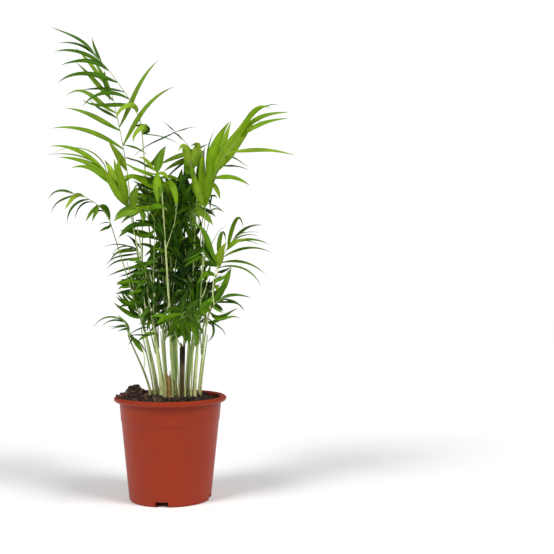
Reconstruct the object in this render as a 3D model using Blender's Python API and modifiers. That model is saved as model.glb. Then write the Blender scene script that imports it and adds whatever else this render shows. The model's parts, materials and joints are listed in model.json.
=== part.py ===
"""Parlour palm in a terracotta-coloured nursery pot.

The pot stands on Z = 0 with its axis on Z, and the front of the plant is -Y. A clump of thin stems
rises from the soil, and pinnate fronds leave the stems on slim stalks. A frond is one solid: a tapering
rib that bends along a smooth path, with a keeled blade for every leaflet.
"""
import math
import random
from collections import namedtuple
from itertools import product

import bmesh
import bpy
import numpy as np
from mathutils import Matrix, Vector
from mathutils.bvhtree import BVHTree

MM = 0.001
CLEARANCE = 0.3 * MM

# Pot, in metres
POT_HEIGHT = 0.156
RIM_RADIUS = 0.085
RIM_DEPTH = 0.008
RIM_ANGLES = (140, 90, 45, 0, -45, -80)
WALL = 0.0014
BODY_TOP_RADIUS = 0.0768
BODY_FOOT_RADIUS = 0.0616
FOOT_CORNER = 0.0030
FOOT_RING_WIDTH = 0.0050
FLOOR_UNDERSIDE = 0.0085
FLOOR_THICKNESS = 0.0016
BAND_HEIGHT = 0.119
BAND_STEP = 0.0006
BAND_SLOPE = 0.0015
POT_STEPS = 42
NOTCHES = 4
NOTCH_WIDTH = 0.020
NOTCH_HEIGHT = 0.0078
NOTCH_DEPTH = 0.024
FIRST_NOTCH = math.radians(-102)
DRAIN_RADIUS = 0.0045
DRAIN_CIRCLE = 0.040
DRAIN_DEPTH = 0.010

# Soil, in metres: a level bed round the stems, lower at the wall, with a mound at the left
BED = 0.1540
EDGE_DROP = 0.0045
BED_RADIUS = 0.052
MOUND_PLACE = Vector((-0.060, 0.014))
MOUND_RISE = 0.0150
MOUND_SPREAD = 0.0145
MOUND_EDGE = 0.4 * MM
SHOULDER_BELOW_RIM = 0.0020
SOIL_CORNER = 0.0010
SOIL_RINGS = 7
SOIL_STEPS = 32

# Leaflets: thickness as a share of the length, what is left of it at the root, how far they stand up from
# the blade's plane, and how much they differ in angle (degrees), length and sag (shares)
LEAFLET_THICKNESS = 0.014
ROOT_THICKNESS = 0.6
RAISE = math.radians(5)
ANGLE_SPREAD = 4.0
LENGTH_SPREAD = 0.05
SAG_SPREAD = 0.15

# Where a leaflet would come nearer than the clearance to another limb, these shares of its length and
# additions to its sag are tried in turn, and it is left out if none keeps clear
LEAFLET_CLEARANCE = 0.4 * MM
LEAFLET_TRIES = ((1.0, 0.0), (1.0, 0.15), (1.0, -0.12), (0.8, 0.1), (0.7, -0.1), (0.6, 0.25))

# Colours of the plain materials, with roughness
TERRACOTTA = ((0.325, 0.046, 0.024), 0.42)
SOIL_BROWN = ((0.035, 0.020, 0.012), 0.95)
STEM_PALE = ((0.330, 0.440, 0.110), 0.50)
STEM_GREEN = ((0.130, 0.270, 0.050), 0.50)
STEM_BROWN = ((0.120, 0.060, 0.030), 0.80)
LEAF_BRIGHT = ((0.130, 0.300, 0.012), 0.45)
LEAF_GREEN = ((0.050, 0.190, 0.010), 0.45)
LEAF_DARK = ((0.020, 0.085, 0.008), 0.45)

# A stem: its foot on the bed (x, y), its top (x, y, z) and its radii at both ends, in millimetres
Stem = namedtuple("Stem", "foot top foot_radius top_radius colour")
STEMS = {
    "stem_left_thin": Stem((-31, -9), (-64, -16, 250), 2.6, 1.4, STEM_GREEN),
    "stem_left": Stem((-21, 3), (-44, 8, 276), 4.6, 2.9, STEM_PALE),
    "stem_left_inner": Stem((-13, -10), (-29, -6, 286), 4.2, 2.7, STEM_PALE),
    "stem_centre_left": Stem((-7, 9), (-12, 11, 262), 4.4, 2.8, STEM_PALE),
    "stem_stub": Stem((-2, -13), (-5, -12, 196), 4.4, 3.2, STEM_BROWN),
    "stem_front": Stem((7, -4), (-1, -4, 272), 4.6, 2.8, STEM_GREEN),
    "stem_back": Stem((7, 13), (9, 15, 244), 3.8, 2.6, STEM_GREEN),
    "stem_dead": Stem((17, -10), (18, -11, 240), 4.2, 3.0, STEM_BROWN),
    "stem_right_inner": Stem((26, 0), (29, 0, 262), 4.6, 2.8, STEM_GREEN),
    "stem_right": Stem((36, -11), (42, -14, 252), 4.2, 2.7, STEM_PALE),
    "stem_right_slim": Stem((44, 3), (55, 4, 268), 3.2, 2.0, STEM_PALE),
    "stem_back_left": Stem((-12, 25), (-30, 38, 274), 4.2, 2.7, STEM_PALE),
    "stem_back_right": Stem((26, 21), (40, 38, 282), 4.4, 2.8, STEM_GREEN),
    "stem_back_far": Stem((7, 31), (4, 48, 300), 4.2, 2.7, STEM_PALE),
}

CARRYING_STEMS = (
    "stem_front", "stem_back_right", "stem_left_inner", "stem_right_slim", "stem_back_left", "stem_right",
    "stem_centre_left", "stem_back_far", "stem_right_inner", "stem_left", "stem_back")

# One side of a frond: the stations of its first and last leaflet along the rib (0 where the blade
# starts, 1 at the end), the number of leaflets, then length (mm) and angle to the rib (degrees) of the
# first and the last, and their width (mm)
Row = namedtuple("Row", "first last count length last_length angle last_angle width")

# A frond: its stem, how far up the stem it leaves it (0 to 1), the start, the middle and the end of its
# blade (mm), its turn about its own rib and the fold of both sides towards its underside (degrees), and
# its sag (share of a leaflet's length)
Frond = namedtuple("Frond", "stem leaves start middle end roll fold sag left right colour stations")
FINE = ((0.0, 0.24), (0.38, 1.0), (0.74, 0.62))
PLAIN = ((0.0, 0.30), (0.45, 1.0))
FRONDS = {
    "frond_crown_left": Frond(
        "stem_left", 0.96, (-66, 20, 492), (-86, 30, 600), (-104, 34, 652), 82, 0, 0.16,
        Row(0.10, 1.0, 7, 108, 76, 72, 22, 9), Row(0.26, 0.44, 2, 122, 118, 62, 46, 9), LEAF_GREEN, FINE),
    "frond_crown_arch": Frond(
        "stem_centre_left", 0.95, (-45, 12, 568), (-84, 6, 638), (-128, 2, 688), 10, 62, 0.08,
        Row(0.02, 1.0, 6, 92, 64, 58, 12, 9), Row(0.10, 0.96, 5, 84, 60, 54, 16, 8), LEAF_GREEN, FINE),
    "frond_left_fan": Frond(
        "stem_left_inner", 0.97, (-62, -30, 440), (-80, -38, 466), (-98, -44, 486), 64, 0, 0.34,
        Row(0.05, 1.0, 5, 106, 98, 26, 4, 8), Row(0.00, 0.94, 4, 118, 102, 30, 12, 8), LEAF_BRIGHT, FINE),
    "frond_left_arch": Frond(
        "stem_left", 0.80, (-92, -15, 424), (-124, -20, 454), (-156, -20, 462), 0, 58, 0.30,
        Row(0.08, 1.0, 5, 48, 42, 60, 20, 6), Row(0.02, 0.95, 5, 48, 42, 60, 20, 6), LEAF_GREEN, FINE),
    "frond_right_fan": Frond(
        "stem_right", 0.96, (52, -58, 446), (80, -86, 498), (106, -110, 532), -70, 0, 0.20,
        Row(0.02, 0.90, 4, 104, 84, 26, 10, 17), Row(0.10, 1.0, 6, 92, 106, 64, 22, 9), LEAF_BRIGHT, FINE),
    "frond_right_mid": Frond(
        "stem_right_slim", 0.94, (72, -24, 352), (90, -30, 388), (106, -36, 402), -62, 0, 0.46,
        Row(0.05, 0.8, 3, 50, 56, 24, 12, 12), Row(0.04, 1.0, 6, 80, 66, 62, 26, 7), LEAF_BRIGHT, FINE),
    "frond_right_low": Frond(
        "stem_right", 0.80, (60, -52, 290), (74, -64, 304), (88, -72, 308), -50, 0, 0.34,
        Row(0.05, 1.0, 4, 56, 50, 58, 18, 9), Row(0.00, 0.94, 4, 60, 52, 66, 24, 9), LEAF_GREEN, FINE),
    "frond_right_small": Frond(
        "stem_back_right", 0.96, (50, 62, 428), (60, 64, 440), (70, 66, 442), -30, 0, 0.45,
        Row(0.05, 1.0, 3, 46, 36, 60, 20, 8), Row(0.00, 0.94, 3, 46, 36, 60, 20, 8), LEAF_GREEN, PLAIN),
    "frond_left_low": Frond(
        "stem_left_thin", 0.94, (-68, -18, 268), (-76, -22, 276), (-84, -26, 274), 20, 20, 0.40,
        Row(0.05, 1.0, 4, 40, 32, 58, 24, 5), Row(0.00, 0.94, 4, 40, 32, 58, 24, 5), LEAF_DARK, PLAIN),
    "frond_left_mid": Frond(
        "stem_back_left", 0.90, (-52, 34, 358), (-66, 34, 374), (-80, 34, 376), 24, 10, 0.42,
        Row(0.05, 1.0, 5, 48, 34, 66, 24, 7), Row(0.00, 0.94, 5, 48, 34, 66, 24, 7), LEAF_DARK, PLAIN),
    "frond_front_low": Frond(
        "stem_front", 0.90, (22, -50, 278), (20, -80, 286), (14, -104, 276), 0, 14, 0.36,
        Row(0.05, 1.0, 4, 60, 54, 66, 24, 13), Row(0.00, 0.94, 4, 60, 54, 66, 24, 13), LEAF_BRIGHT, FINE),
    "frond_centre_top": Frond(
        "stem_front", 0.99, (-10, -38, 462), (-11, -46, 484), (-4, -62, 494), 12, 10, 0.50,
        Row(0.05, 1.0, 3, 56, 52, 58, 20, 12), Row(0.00, 0.94, 3, 56, 52, 58, 20, 12), LEAF_BRIGHT, FINE),
    "frond_centre_fan": Frond(
        "stem_right_inner", 0.97, (38, -20, 436), (34, -20, 462), (28, -20, 482), 84, 0, 0.06,
        Row(0.05, 1.0, 3, 74, 60, 40, 10, 17), Row(0.00, 0.94, 4, 74, 60, 40, 14, 14), LEAF_GREEN, FINE),
    "frond_crossing": Frond(
        "stem_back_far", 0.97, (14, 46, 478), (10, 44, 506), (6, 42, 524), 88, 0, 0.05,
        Row(0.05, 1.0, 4, 78, 56, 66, 30, 6), Row(0.00, 0.94, 4, 78, 56, 66, 30, 6), LEAF_DARK, PLAIN),
    "frond_left_band": Frond(
        "stem_left_inner", 0.82, (-24, -34, 418), (-42, -44, 434), (-58, -50, 432), 16, 0, 0.22,
        Row(0.05, 1.0, 4, 62, 50, 50, 12, 14), Row(0.00, 0.94, 4, 62, 50, 50, 16, 14), LEAF_GREEN, FINE),
}

# Rings of fronds that fill the heart of the clump and its back: name, count, azimuth of the first and
# the turn to the next (degrees), the height of the blade's start at the first and the last, reach outwards
# at both, the rise from the blade's start to its end, the leaflet's length and width (mm), the rolls
# (degrees) that follow each other round the ring, and the place of its first stem in CARRYING_STEMS
Ring = namedtuple(
    "Ring", "name count azimuth turn low high near far rise length width rolls first_stem colour")
RINGS = (
    Ring("frond_heart", 9, -84, 137.5, 250, 318, 30, 60, 34, 58, 12, (30, -60, 70, 0, 50), 0, LEAF_DARK),
    Ring("frond_middle", 7, -62, 137.5, 326, 398, 34, 72, 36, 64, 12, (-50, 30, 70, 0), 3, LEAF_GREEN),
    Ring("frond_back", 5, 40, 26, 398, 452, 112, 68, 44, 70, 12, (0, 20, -20), 1, LEAF_GREEN),
)

# A ring's frond leaves its stem this far below the start of its blade (mm), but not above the highest share
# of the stem. Its blade starts, bends and ends at these shares of its reach, and bends at a share of its
# rise. The reaches follow each other by a step that never repeats. Its sag, and where its leaflets stand
STALK_RISE = 40
HIGHEST_SHARE = 0.97
REACH_AT_START = 0.35
REACH_AT_BEND = 0.73
REACH_AT_END = 1.0
RISE_AT_BEND = 0.75
REACH_STEP = 0.618
RING_SAG = 0.26
RING_ROW = Row(0.05, 1.0, 4, 0, 0, 56, 18, 0)
RING_ROW_TAPER = 0.8

# Stems: the straight collar above the soil, how far they keep upright before they lean, the flare at the
# foot as a share of the radius and how fast it ends, and the points along the bend
STEM_COLLAR = 12 * MM
STEM_UPRIGHT = 36 * MM
FLARE = 0.16
FLARE_END = 9.0
STEM_SAMPLES = 6

# A frond's stalk and rib: radii at its foot and its end and the power of its taper, how far the stalk leans
# out at its foot, the points along the stalk and each half of the blade, and how far the flats of a
# six-sided stem and a four-sided stalk reach, as shares of their radii
STALK_RADIUS = 1.7 * MM
RIB_END_RADIUS = 0.55 * MM
RIB_TAPER = 0.9
STALK_LEAN = 0.15
STALK_SAMPLES = 4
BLADE_SAMPLES = 3
STEM_FLAT = 0.95
STALK_FLAT = 0.90
SHARP_ANGLE = math.radians(50)

# A rib of a ring that comes nearer than this to another limb leaves its stem lower down, and then swings
# round it, by each of these shares and degrees in turn
RIB_GAP = 0.25 * MM
DROPS = (0, 0.08, 0.16, 0.24)
SWINGS = (0, 8, -8, 16, -16, 24, -24, 34, -34, 46, -46)
BEAD_SPACING = 2.5 * MM


def empty_scene():
    for thing in list(bpy.data.objects):
        bpy.data.objects.remove(thing, do_unlink=True)


def new_collection(name):
    collection = bpy.data.collections.new(name)
    bpy.context.scene.collection.children.link(collection)
    return collection


def finish(thing, colour_and_roughness):
    """Gives a sub-part its own Principled material, named after it."""
    colour, roughness = colour_and_roughness
    material = bpy.data.materials.new(thing.name + "_finish")
    material.use_nodes = True
    shader = material.node_tree.nodes["Principled BSDF"]
    shader.inputs["Base Color"].default_value = (*colour, 1.0)
    shader.inputs["Roughness"].default_value = roughness
    shader.inputs["Metallic"].default_value = 0.0
    material.diffuse_color = (*colour, 1.0)
    thing.data.materials.clear()
    thing.data.materials.append(material)


def evaluated_mesh(thing, name):
    """The mesh that a curve or a modifier stack gives."""
    view = bpy.context.evaluated_depsgraph_get()
    mesh = bpy.data.meshes.new_from_object(thing.evaluated_get(view), depsgraph=view)
    mesh.name = name
    return mesh


def weld(mesh):
    """Joins a curve's loose caps to its wall."""
    work = bmesh.new()
    work.from_mesh(mesh)
    bmesh.ops.remove_doubles(work, verts=work.verts, dist=1e-6)
    work.to_mesh(mesh)
    work.free()


def turned(name, profile, steps, collection):
    """A solid of revolution about Z from (radius, height) pairs."""
    mesh = bpy.data.meshes.new(name)
    edges = [(i, i + 1) for i in range(len(profile) - 1)]
    mesh.from_pydata([(r, 0.0, z) for r, z in profile], edges, [])
    thing = bpy.data.objects.new(name, mesh)
    collection.objects.link(thing)
    screw = thing.modifiers.new("Turn", "SCREW")
    screw.steps = screw.render_steps = steps
    screw.use_smooth_shade = True
    screw.use_merge_vertices = True
    screw.merge_threshold = 0.00001
    return thing


def seat(thing, parent, place):
    """Gives a sub-part its origin at place, where it is carried, and parents it to what carries it."""
    thing.data.transform(Matrix.Translation(-place))
    thing.parent = parent
    thing.location = place
    while parent:
        thing.location -= parent.location
        parent = parent.parent


def body_radius(height):
    """Outer radius of the pot's tapering body."""
    share = height / (POT_HEIGHT - RIM_DEPTH)
    return BODY_FOOT_RADIUS + (BODY_TOP_RADIUS - BODY_FOOT_RADIUS) * share


def arc(radius, height, half_width, half_height, angles):
    """Points (radius, height) round a centre, at angles in degrees from the outward direction."""
    turns = [math.radians(degrees) for degrees in angles]
    return [(radius + half_width * math.cos(t), height + half_height * math.sin(t)) for t in turns]


def pot_profile():
    """From the floor's centre up the inner wall, over the rim, down the outside and in under the floor."""
    floor_top = FLOOR_UNDERSIDE + FLOOR_THICKNESS
    under_rim = POT_HEIGHT - RIM_DEPTH
    half_rim = 0.5 * (RIM_RADIUS - BODY_TOP_RADIUS + WALL)
    half_depth = 0.5 * RIM_DEPTH
    ring_outside = body_radius(0) - FOOT_CORNER
    corner_width = body_radius(FOOT_CORNER) - ring_outside
    return [
        (0.0, floor_top),
        (body_radius(floor_top) - WALL, floor_top),
        (BODY_TOP_RADIUS - WALL, under_rim),
        *arc(RIM_RADIUS - half_rim, POT_HEIGHT - half_depth, half_rim, half_depth, RIM_ANGLES),
        (BODY_TOP_RADIUS, under_rim),
        (body_radius(BAND_HEIGHT) + BAND_STEP, BAND_HEIGHT + BAND_SLOPE),
        (body_radius(BAND_HEIGHT), BAND_HEIGHT - BAND_SLOPE),
        *arc(ring_outside, FOOT_CORNER, corner_width, FOOT_CORNER, (0, -45, -90)),
        (ring_outside - FOOT_RING_WIDTH, 0.0),
        (ring_outside - FOOT_RING_WIDTH - 0.001, FLOOR_UNDERSIDE),
        (0.0, FLOOR_UNDERSIDE),
    ]


def cutter_box(name, size, place, turn, cutters):
    bpy.ops.mesh.primitive_cube_add(size=1.0)
    box = bpy.context.object
    box.name = name
    box.data.transform(Matrix.Diagonal((*size, 1.0)))
    box.matrix_world = Matrix.Rotation(turn, 4, "Z") @ Matrix.Translation(place)
    hide_cutter(box, cutters)
    return box


def cutter_drill(name, radius, depth, place, turn, cutters):
    bpy.ops.mesh.primitive_cylinder_add(vertices=12, radius=radius, depth=depth)
    drill = bpy.context.object
    drill.name = name
    drill.matrix_world = Matrix.Rotation(turn, 4, "Z") @ Matrix.Translation(place)
    hide_cutter(drill, cutters)
    return drill


def hide_cutter(cutter, cutters):
    for home in list(cutter.users_collection):
        home.objects.unlink(cutter)
    cutters.objects.link(cutter)
    cutter.hide_render = True
    cutter.display_type = "WIRE"


def make_pot(plant, cutters):
    """The turned pot with notches through its foot ring and a drain hole beside each."""
    pot = turned("pot", pot_profile(), POT_STEPS, plant)
    notch_size = (NOTCH_DEPTH, NOTCH_WIDTH, 2 * NOTCH_HEIGHT)
    notch_place = Vector((body_radius(0) - FOOT_CORNER, 0, 0))
    drain_place = Vector((DRAIN_CIRCLE, 0, FLOOR_UNDERSIDE))
    for i in range(NOTCHES):
        turn = FIRST_NOTCH + i * math.tau / NOTCHES
        notch = cutter_box(f"notch_{i}", notch_size, notch_place, turn, cutters)
        drill = cutter_drill(f"drain_{i}", DRAIN_RADIUS, DRAIN_DEPTH, drain_place, turn, cutters)
        for cutter in (notch, drill):
            cut = pot.modifiers.new(cutter.name, "BOOLEAN")
            cut.operation = "DIFFERENCE"
            cut.object = cutter
    return pot


def soil_height(x, y):
    """Height of the soil: level bed, falling away to the wall, with a smooth mound at the left."""
    radius = math.hypot(x, y)
    outside = max(0.0, radius - BED_RADIUS) / (BODY_TOP_RADIUS - BED_RADIUS)
    from_mound = (Vector((x, y)) - MOUND_PLACE).length / MOUND_SPREAD
    mound = MOUND_RISE * math.exp(-from_mound ** 2)
    level = BED - EDGE_DROP * outside ** 2
    return level if mound < MOUND_EDGE else level + mound


def make_soil(plant):
    """A turned plug that fills the pot, its top rings lifted to the height of the soil."""
    gap = WALL + CLEARANCE
    bottom = FLOOR_UNDERSIDE + FLOOR_THICKNESS + CLEARANCE
    shoulder = POT_HEIGHT - RIM_DEPTH - SHOULDER_BELOW_RIM
    outer = body_radius(shoulder) - gap
    profile = [(outer * i / SOIL_RINGS, BED) for i in range(SOIL_RINGS)]
    profile += [(outer - SOIL_CORNER, BED), (outer, shoulder)]
    profile += [(body_radius(bottom) - gap, bottom), (0.0, bottom)]
    rough = turned("soil_turned", profile, SOIL_STEPS, plant)
    mesh = evaluated_mesh(rough, "soil")
    weld(mesh)
    bpy.data.objects.remove(rough, do_unlink=True)
    for vertex in mesh.vertices:
        if vertex.co.z > shoulder + SOIL_CORNER:
            vertex.co.z = soil_height(vertex.co.x, vertex.co.y)
    soil = bpy.data.objects.new("soil", mesh)
    plant.objects.link(soil)
    return soil


def smooth_path(points, first_direction, samples):
    """A Hermite path through the points, leaving the first along first_direction."""
    slopes = [first_direction.normalized() * (points[1] - points[0]).length]
    for before, after in zip(points, points[2:]):
        slopes.append((after - before) / 2)
    slopes.append(points[-1] - points[-2])
    path = []
    for i in range(len(points) - 1):
        for k in range(samples):
            t = k / samples
            t2, t3 = t * t, t * t * t
            path.append(
                points[i] * (2 * t3 - 3 * t2 + 1) + slopes[i] * (t3 - 2 * t2 + t)
                + points[i + 1] * (3 * t2 - 2 * t3) + slopes[i + 1] * (t3 - t2))
    path.append(points[-1].copy())
    return path


def limb(name, path, radii, sides_resolution, collection):
    """A tapering round limb along a path, as one closed mesh."""
    curve = bpy.data.curves.new(name, "CURVE")
    curve.dimensions = "3D"
    curve.bevel_depth = MM
    curve.bevel_resolution = sides_resolution
    curve.use_fill_caps = True
    spline = curve.splines.new("POLY")
    spline.points.add(len(path) - 1)
    for point, place, radius in zip(spline.points, path, radii):
        point.co = (*place, 1.0)
        point.radius = radius / MM
    rough = bpy.data.objects.new(name + "_curve", curve)
    collection.objects.link(rough)
    mesh = evaluated_mesh(rough, name)
    weld(mesh)
    mesh.shade_smooth()
    mesh.set_sharp_from_angle(angle=SHARP_ANGLE)
    bpy.data.objects.remove(rough, do_unlink=True)
    thing = bpy.data.objects.new(name, mesh)
    collection.objects.link(thing)
    return thing


def stem_path(stem):
    """From a flat cut on the bed, straight up and then bending to the stem's top."""
    foot = Vector((stem.foot[0] * MM, stem.foot[1] * MM, BED + CLEARANCE))
    top = Vector(stem.top) * MM
    collar = Vector((0, 0, STEM_COLLAR))
    leaning = top - foot + Vector((0, 0, STEM_UPRIGHT))
    return [foot, foot + collar / 2] + smooth_path([foot + collar, top], leaning, STEM_SAMPLES)


def stem_radii(stem, count):
    """Flared foot, then an even taper."""
    radii = []
    for i in range(count):
        share = i / (count - 1)
        flare = 1.0 + FLARE * math.exp(-(share * FLARE_END) ** 2)
        radii.append((stem.foot_radius + (stem.top_radius - stem.foot_radius) * share) * flare * MM)
    return radii


def make_stem(name, stem, plant):
    path = stem_path(stem)
    return limb(name, path, stem_radii(stem, len(path)), 1, plant), path


def along(path, share):
    """Place and direction at a share of a path's points."""
    position = min(max(share, 0.0), 1.0) * (len(path) - 1)
    i = min(int(position), len(path) - 2)
    return path[i].lerp(path[i + 1], position - i), (path[i + 1] - path[i]).normalized()


def frond_path(frond, stems):
    """The stalk leaves its stem beside it, clear of it, and the rib runs on through the blade to its end."""
    stem = STEMS[frond.stem]
    start, middle, end = (Vector(p) * MM for p in (frond.start, frond.middle, frond.end))
    place, direction = along(stems[frond.stem], frond.leaves)
    outward = start - place
    outward = (outward - direction * outward.dot(direction)).normalized()
    stem_radius = (stem.foot_radius + (stem.top_radius - stem.foot_radius) * frond.leaves) * MM
    foot = place + outward * (stem_radius * STEM_FLAT + STALK_RADIUS * STALK_FLAT + CLEARANCE)
    stalk = smooth_path([foot, start], direction + outward * STALK_LEAN, STALK_SAMPLES)
    blade = smooth_path([start, middle, end], (middle - foot).normalized(), BLADE_SAMPLES)
    return stalk[:-1] + blade, len(stalk) - 1


def rib_radii(count):
    """From the stalk's foot to the rib's end."""
    shares = [(i / (count - 1)) ** RIB_TAPER for i in range(count)]
    return [STALK_RADIUS + (RIB_END_RADIUS - STALK_RADIUS) * share for share in shares]


def blade_frame(direction, roll):
    """The side and the upper face of a frond at a point of its rib: face up, turned by roll."""
    level = math.hypot(direction.x, direction.y)
    away = Vector((direction.x, direction.y, 0)) / level if level else Vector((0, -1, 0))
    face = Vector((0, 0, level)) - away * direction.z
    side = direction.cross(face).normalized()
    turn = Matrix.Rotation(math.radians(roll), 3, direction)
    return turn @ side, turn @ face


def leaflet(name, root, direction, face, length, width, sag, stations, collection):
    """A keeled blade: its middle line sinks with the square of the distance, its edges close at the tip."""
    across = face.cross(direction).normalized()
    thickness = LEAFLET_THICKNESS * length
    down = Vector((0, 0, -1))
    points = []
    for station, share in stations:
        middle = root + direction * (length * station) + down * (sag * length * station ** 2)
        tangent = (direction + down * (2 * sag * station)).normalized()
        above = tangent.cross(across).normalized()
        half = across * (0.5 * width * share)
        if above.dot(face) < 0:
            above.negate()
        keel = thickness * (ROOT_THICKNESS + (1 - ROOT_THICKNESS) * share)
        points += [middle - half, middle + half, middle - above * keel]
    points.append(root + direction * length + down * sag * length)
    tip = len(points) - 1
    faces = [(0, 2, 1)]
    for k in range(0, tip - 3, 3):
        for a, b in ((0, 1), (1, 2), (2, 0)):
            faces.append((k + a, k + b, k + 3 + b, k + 3 + a))
    faces += [(tip - 3 + a, tip - 3 + b, tip) for a, b in ((0, 1), (1, 2), (2, 0))]
    mesh = bpy.data.meshes.new(name)
    mesh.from_pydata(points, [], faces)
    work = bmesh.new()
    work.from_mesh(mesh)
    bmesh.ops.recalc_face_normals(work, faces=work.faces)
    work.to_mesh(mesh)
    work.free()
    thing = bpy.data.objects.new(name, mesh)
    collection.objects.link(thing)
    return thing


def surface_tree(mesh, swell=0.0):
    """A search tree over a mesh's faces, its points moved outwards by swell."""
    points = [v.co + v.normal * swell for v in mesh.vertices]
    return BVHTree.FromPolygons(points, [tuple(p.vertices) for p in mesh.polygons])


def side_leaflets(name, row, side, frond, blade, dice):
    """Name, root, heading, face, length, width and sag of each leaflet on one side of a frond."""
    fold = math.radians(frond.fold) - RAISE
    wanted = []
    for i in range(row.count):
        share = i / max(row.count - 1, 1)
        root, direction = along(blade, row.first + (row.last - row.first) * share)
        across, face = blade_frame(direction, frond.roll)
        outward = across * side * math.cos(fold) - face * math.sin(fold)
        angle = row.angle + (row.last_angle - row.angle) * share + dice.uniform(-ANGLE_SPREAD, ANGLE_SPREAD)
        angle = math.radians(angle)
        heading = direction * math.cos(angle) + outward * math.sin(angle)
        upper = (face * math.cos(fold) + across * side * math.sin(fold)).normalized()
        length = (row.length + (row.last_length - row.length) * share) * MM
        length *= dice.uniform(1 - LENGTH_SPREAD, 1 + LENGTH_SPREAD)
        sag = frond.sag * dice.uniform(1 - SAG_SPREAD, 1 + SAG_SPREAD)
        wanted.append((f"{name}_{i}", root, heading.normalized(), upper, length, row.width * MM, sag))
    return wanted


def make_frond(name, frond, path, blade_index, others, plant):
    """A rib with a leaflet wherever one keeps clear of every other limb, joined to one solid."""
    rib = limb(name, path, rib_radii(len(path)), 0, plant)
    leaflets = bpy.data.collections.new(name + "_leaflets")
    dice = random.Random(name)
    wanted = []
    for label, row, side in (("left", frond.left, 1), ("right", frond.right, -1)):
        wanted += side_leaflets(f"{name}_{label}", row, side, frond, path[blade_index:], dice)
    trees = []
    for values in wanted:
        label, root, heading, upper, length, width, sag = values
        for shorter, lower in LEAFLET_TRIES:
            blade = leaflet(
                label, root, heading, upper, length * shorter, width, sag + lower, frond.stations, leaflets)
            tree = surface_tree(blade.data, LEAFLET_CLEARANCE)
            if not any(tree.overlap(other) for other in others):
                trees.append(surface_tree(blade.data))
                break
            bpy.data.objects.remove(blade, do_unlink=True)
    join = rib.modifiers.new("Join", "BOOLEAN")
    join.operation = "UNION"
    join.operand_type = "COLLECTION"
    join.collection = leaflets
    join.solver = "MANIFOLD"
    joined = evaluated_mesh(rib, name)
    rib.modifiers.clear()
    rib.data = joined
    for blade in list(leaflets.objects):
        bpy.data.objects.remove(blade, do_unlink=True)
    bpy.data.collections.remove(leaflets)
    return rib, trees


def beads(path, radii):
    """Places (x, y, z, radius) at an even spacing along a limb."""
    rows = []
    for k in range(len(path) - 1):
        count = max(1, round((path[k + 1] - path[k]).length / BEAD_SPACING))
        for i in range(count):
            t = i / count
            rows.append((*path[k].lerp(path[k + 1], t), radii[k] + (radii[k + 1] - radii[k]) * t))
    rows.append((*path[-1], radii[-1]))
    return np.array(rows)


def gap_between(one, other):
    """The least gap between two limbs given as beads."""
    apart = np.linalg.norm(one[:, None, :3] - other[None, :, :3], axis=2)
    return float((apart - one[:, None, 3] - other[None, :, 3]).min())


def ring_fronds(stems, placed):
    """Fronds that fill the heart and the back of the clump, each ring turning round the clump."""
    fronds = {}
    for ring in RINGS:
        for i in range(ring.count):
            stem = CARRYING_STEMS[(ring.first_stem + i) % len(CARRYING_STEMS)]
            for swing, drop in product(SWINGS, DROPS):
                frond = ring_frond(ring, i, stem, math.radians(ring.azimuth + i * ring.turn + swing), drop)
                path, _ = frond_path(frond, stems)
                row = beads(path, rib_radii(len(path)))
                gaps = [gap_between(row, other) for near, other in placed.items() if near != stem]
                if min(gaps) > RIB_GAP:
                    name = f"{ring.name}_{i + 1}"
                    fronds[name] = frond
                    placed[name] = row
                    break
    return fronds


def ring_frond(ring, i, stem, azimuth, drop):
    """A frond of a ring that bows outwards from its stem at an azimuth."""
    outward = Vector((math.cos(azimuth), math.sin(azimuth), 0))
    share = (i + 0.5) / ring.count
    height = ring.low + (ring.high - ring.low) * share
    reach = ring.near + (ring.far - ring.near) * ((i * REACH_STEP) % 1.0)
    top = STEMS[stem].top
    foot = Vector((top[0], top[1], height))
    start = foot + outward * reach * REACH_AT_START
    middle = foot + outward * reach * REACH_AT_BEND + Vector((0, 0, ring.rise * RISE_AT_BEND))
    end = foot + outward * reach * REACH_AT_END + Vector((0, 0, ring.rise))
    left = RING_ROW._replace(
        length=ring.length, last_length=ring.length * RING_ROW_TAPER, width=ring.width)
    right = left._replace(first=0.0, last=0.94)
    bed = BED / MM
    leaves = min(HIGHEST_SHARE, (height - bed - STALK_RISE) / (top[2] - bed)) - drop
    roll = ring.rolls[i % len(ring.rolls)]
    points = (tuple(start), tuple(middle), tuple(end))
    return Frond(stem, leaves, *points, roll, 0, RING_SAG, left, right, ring.colour, PLAIN)


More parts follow.
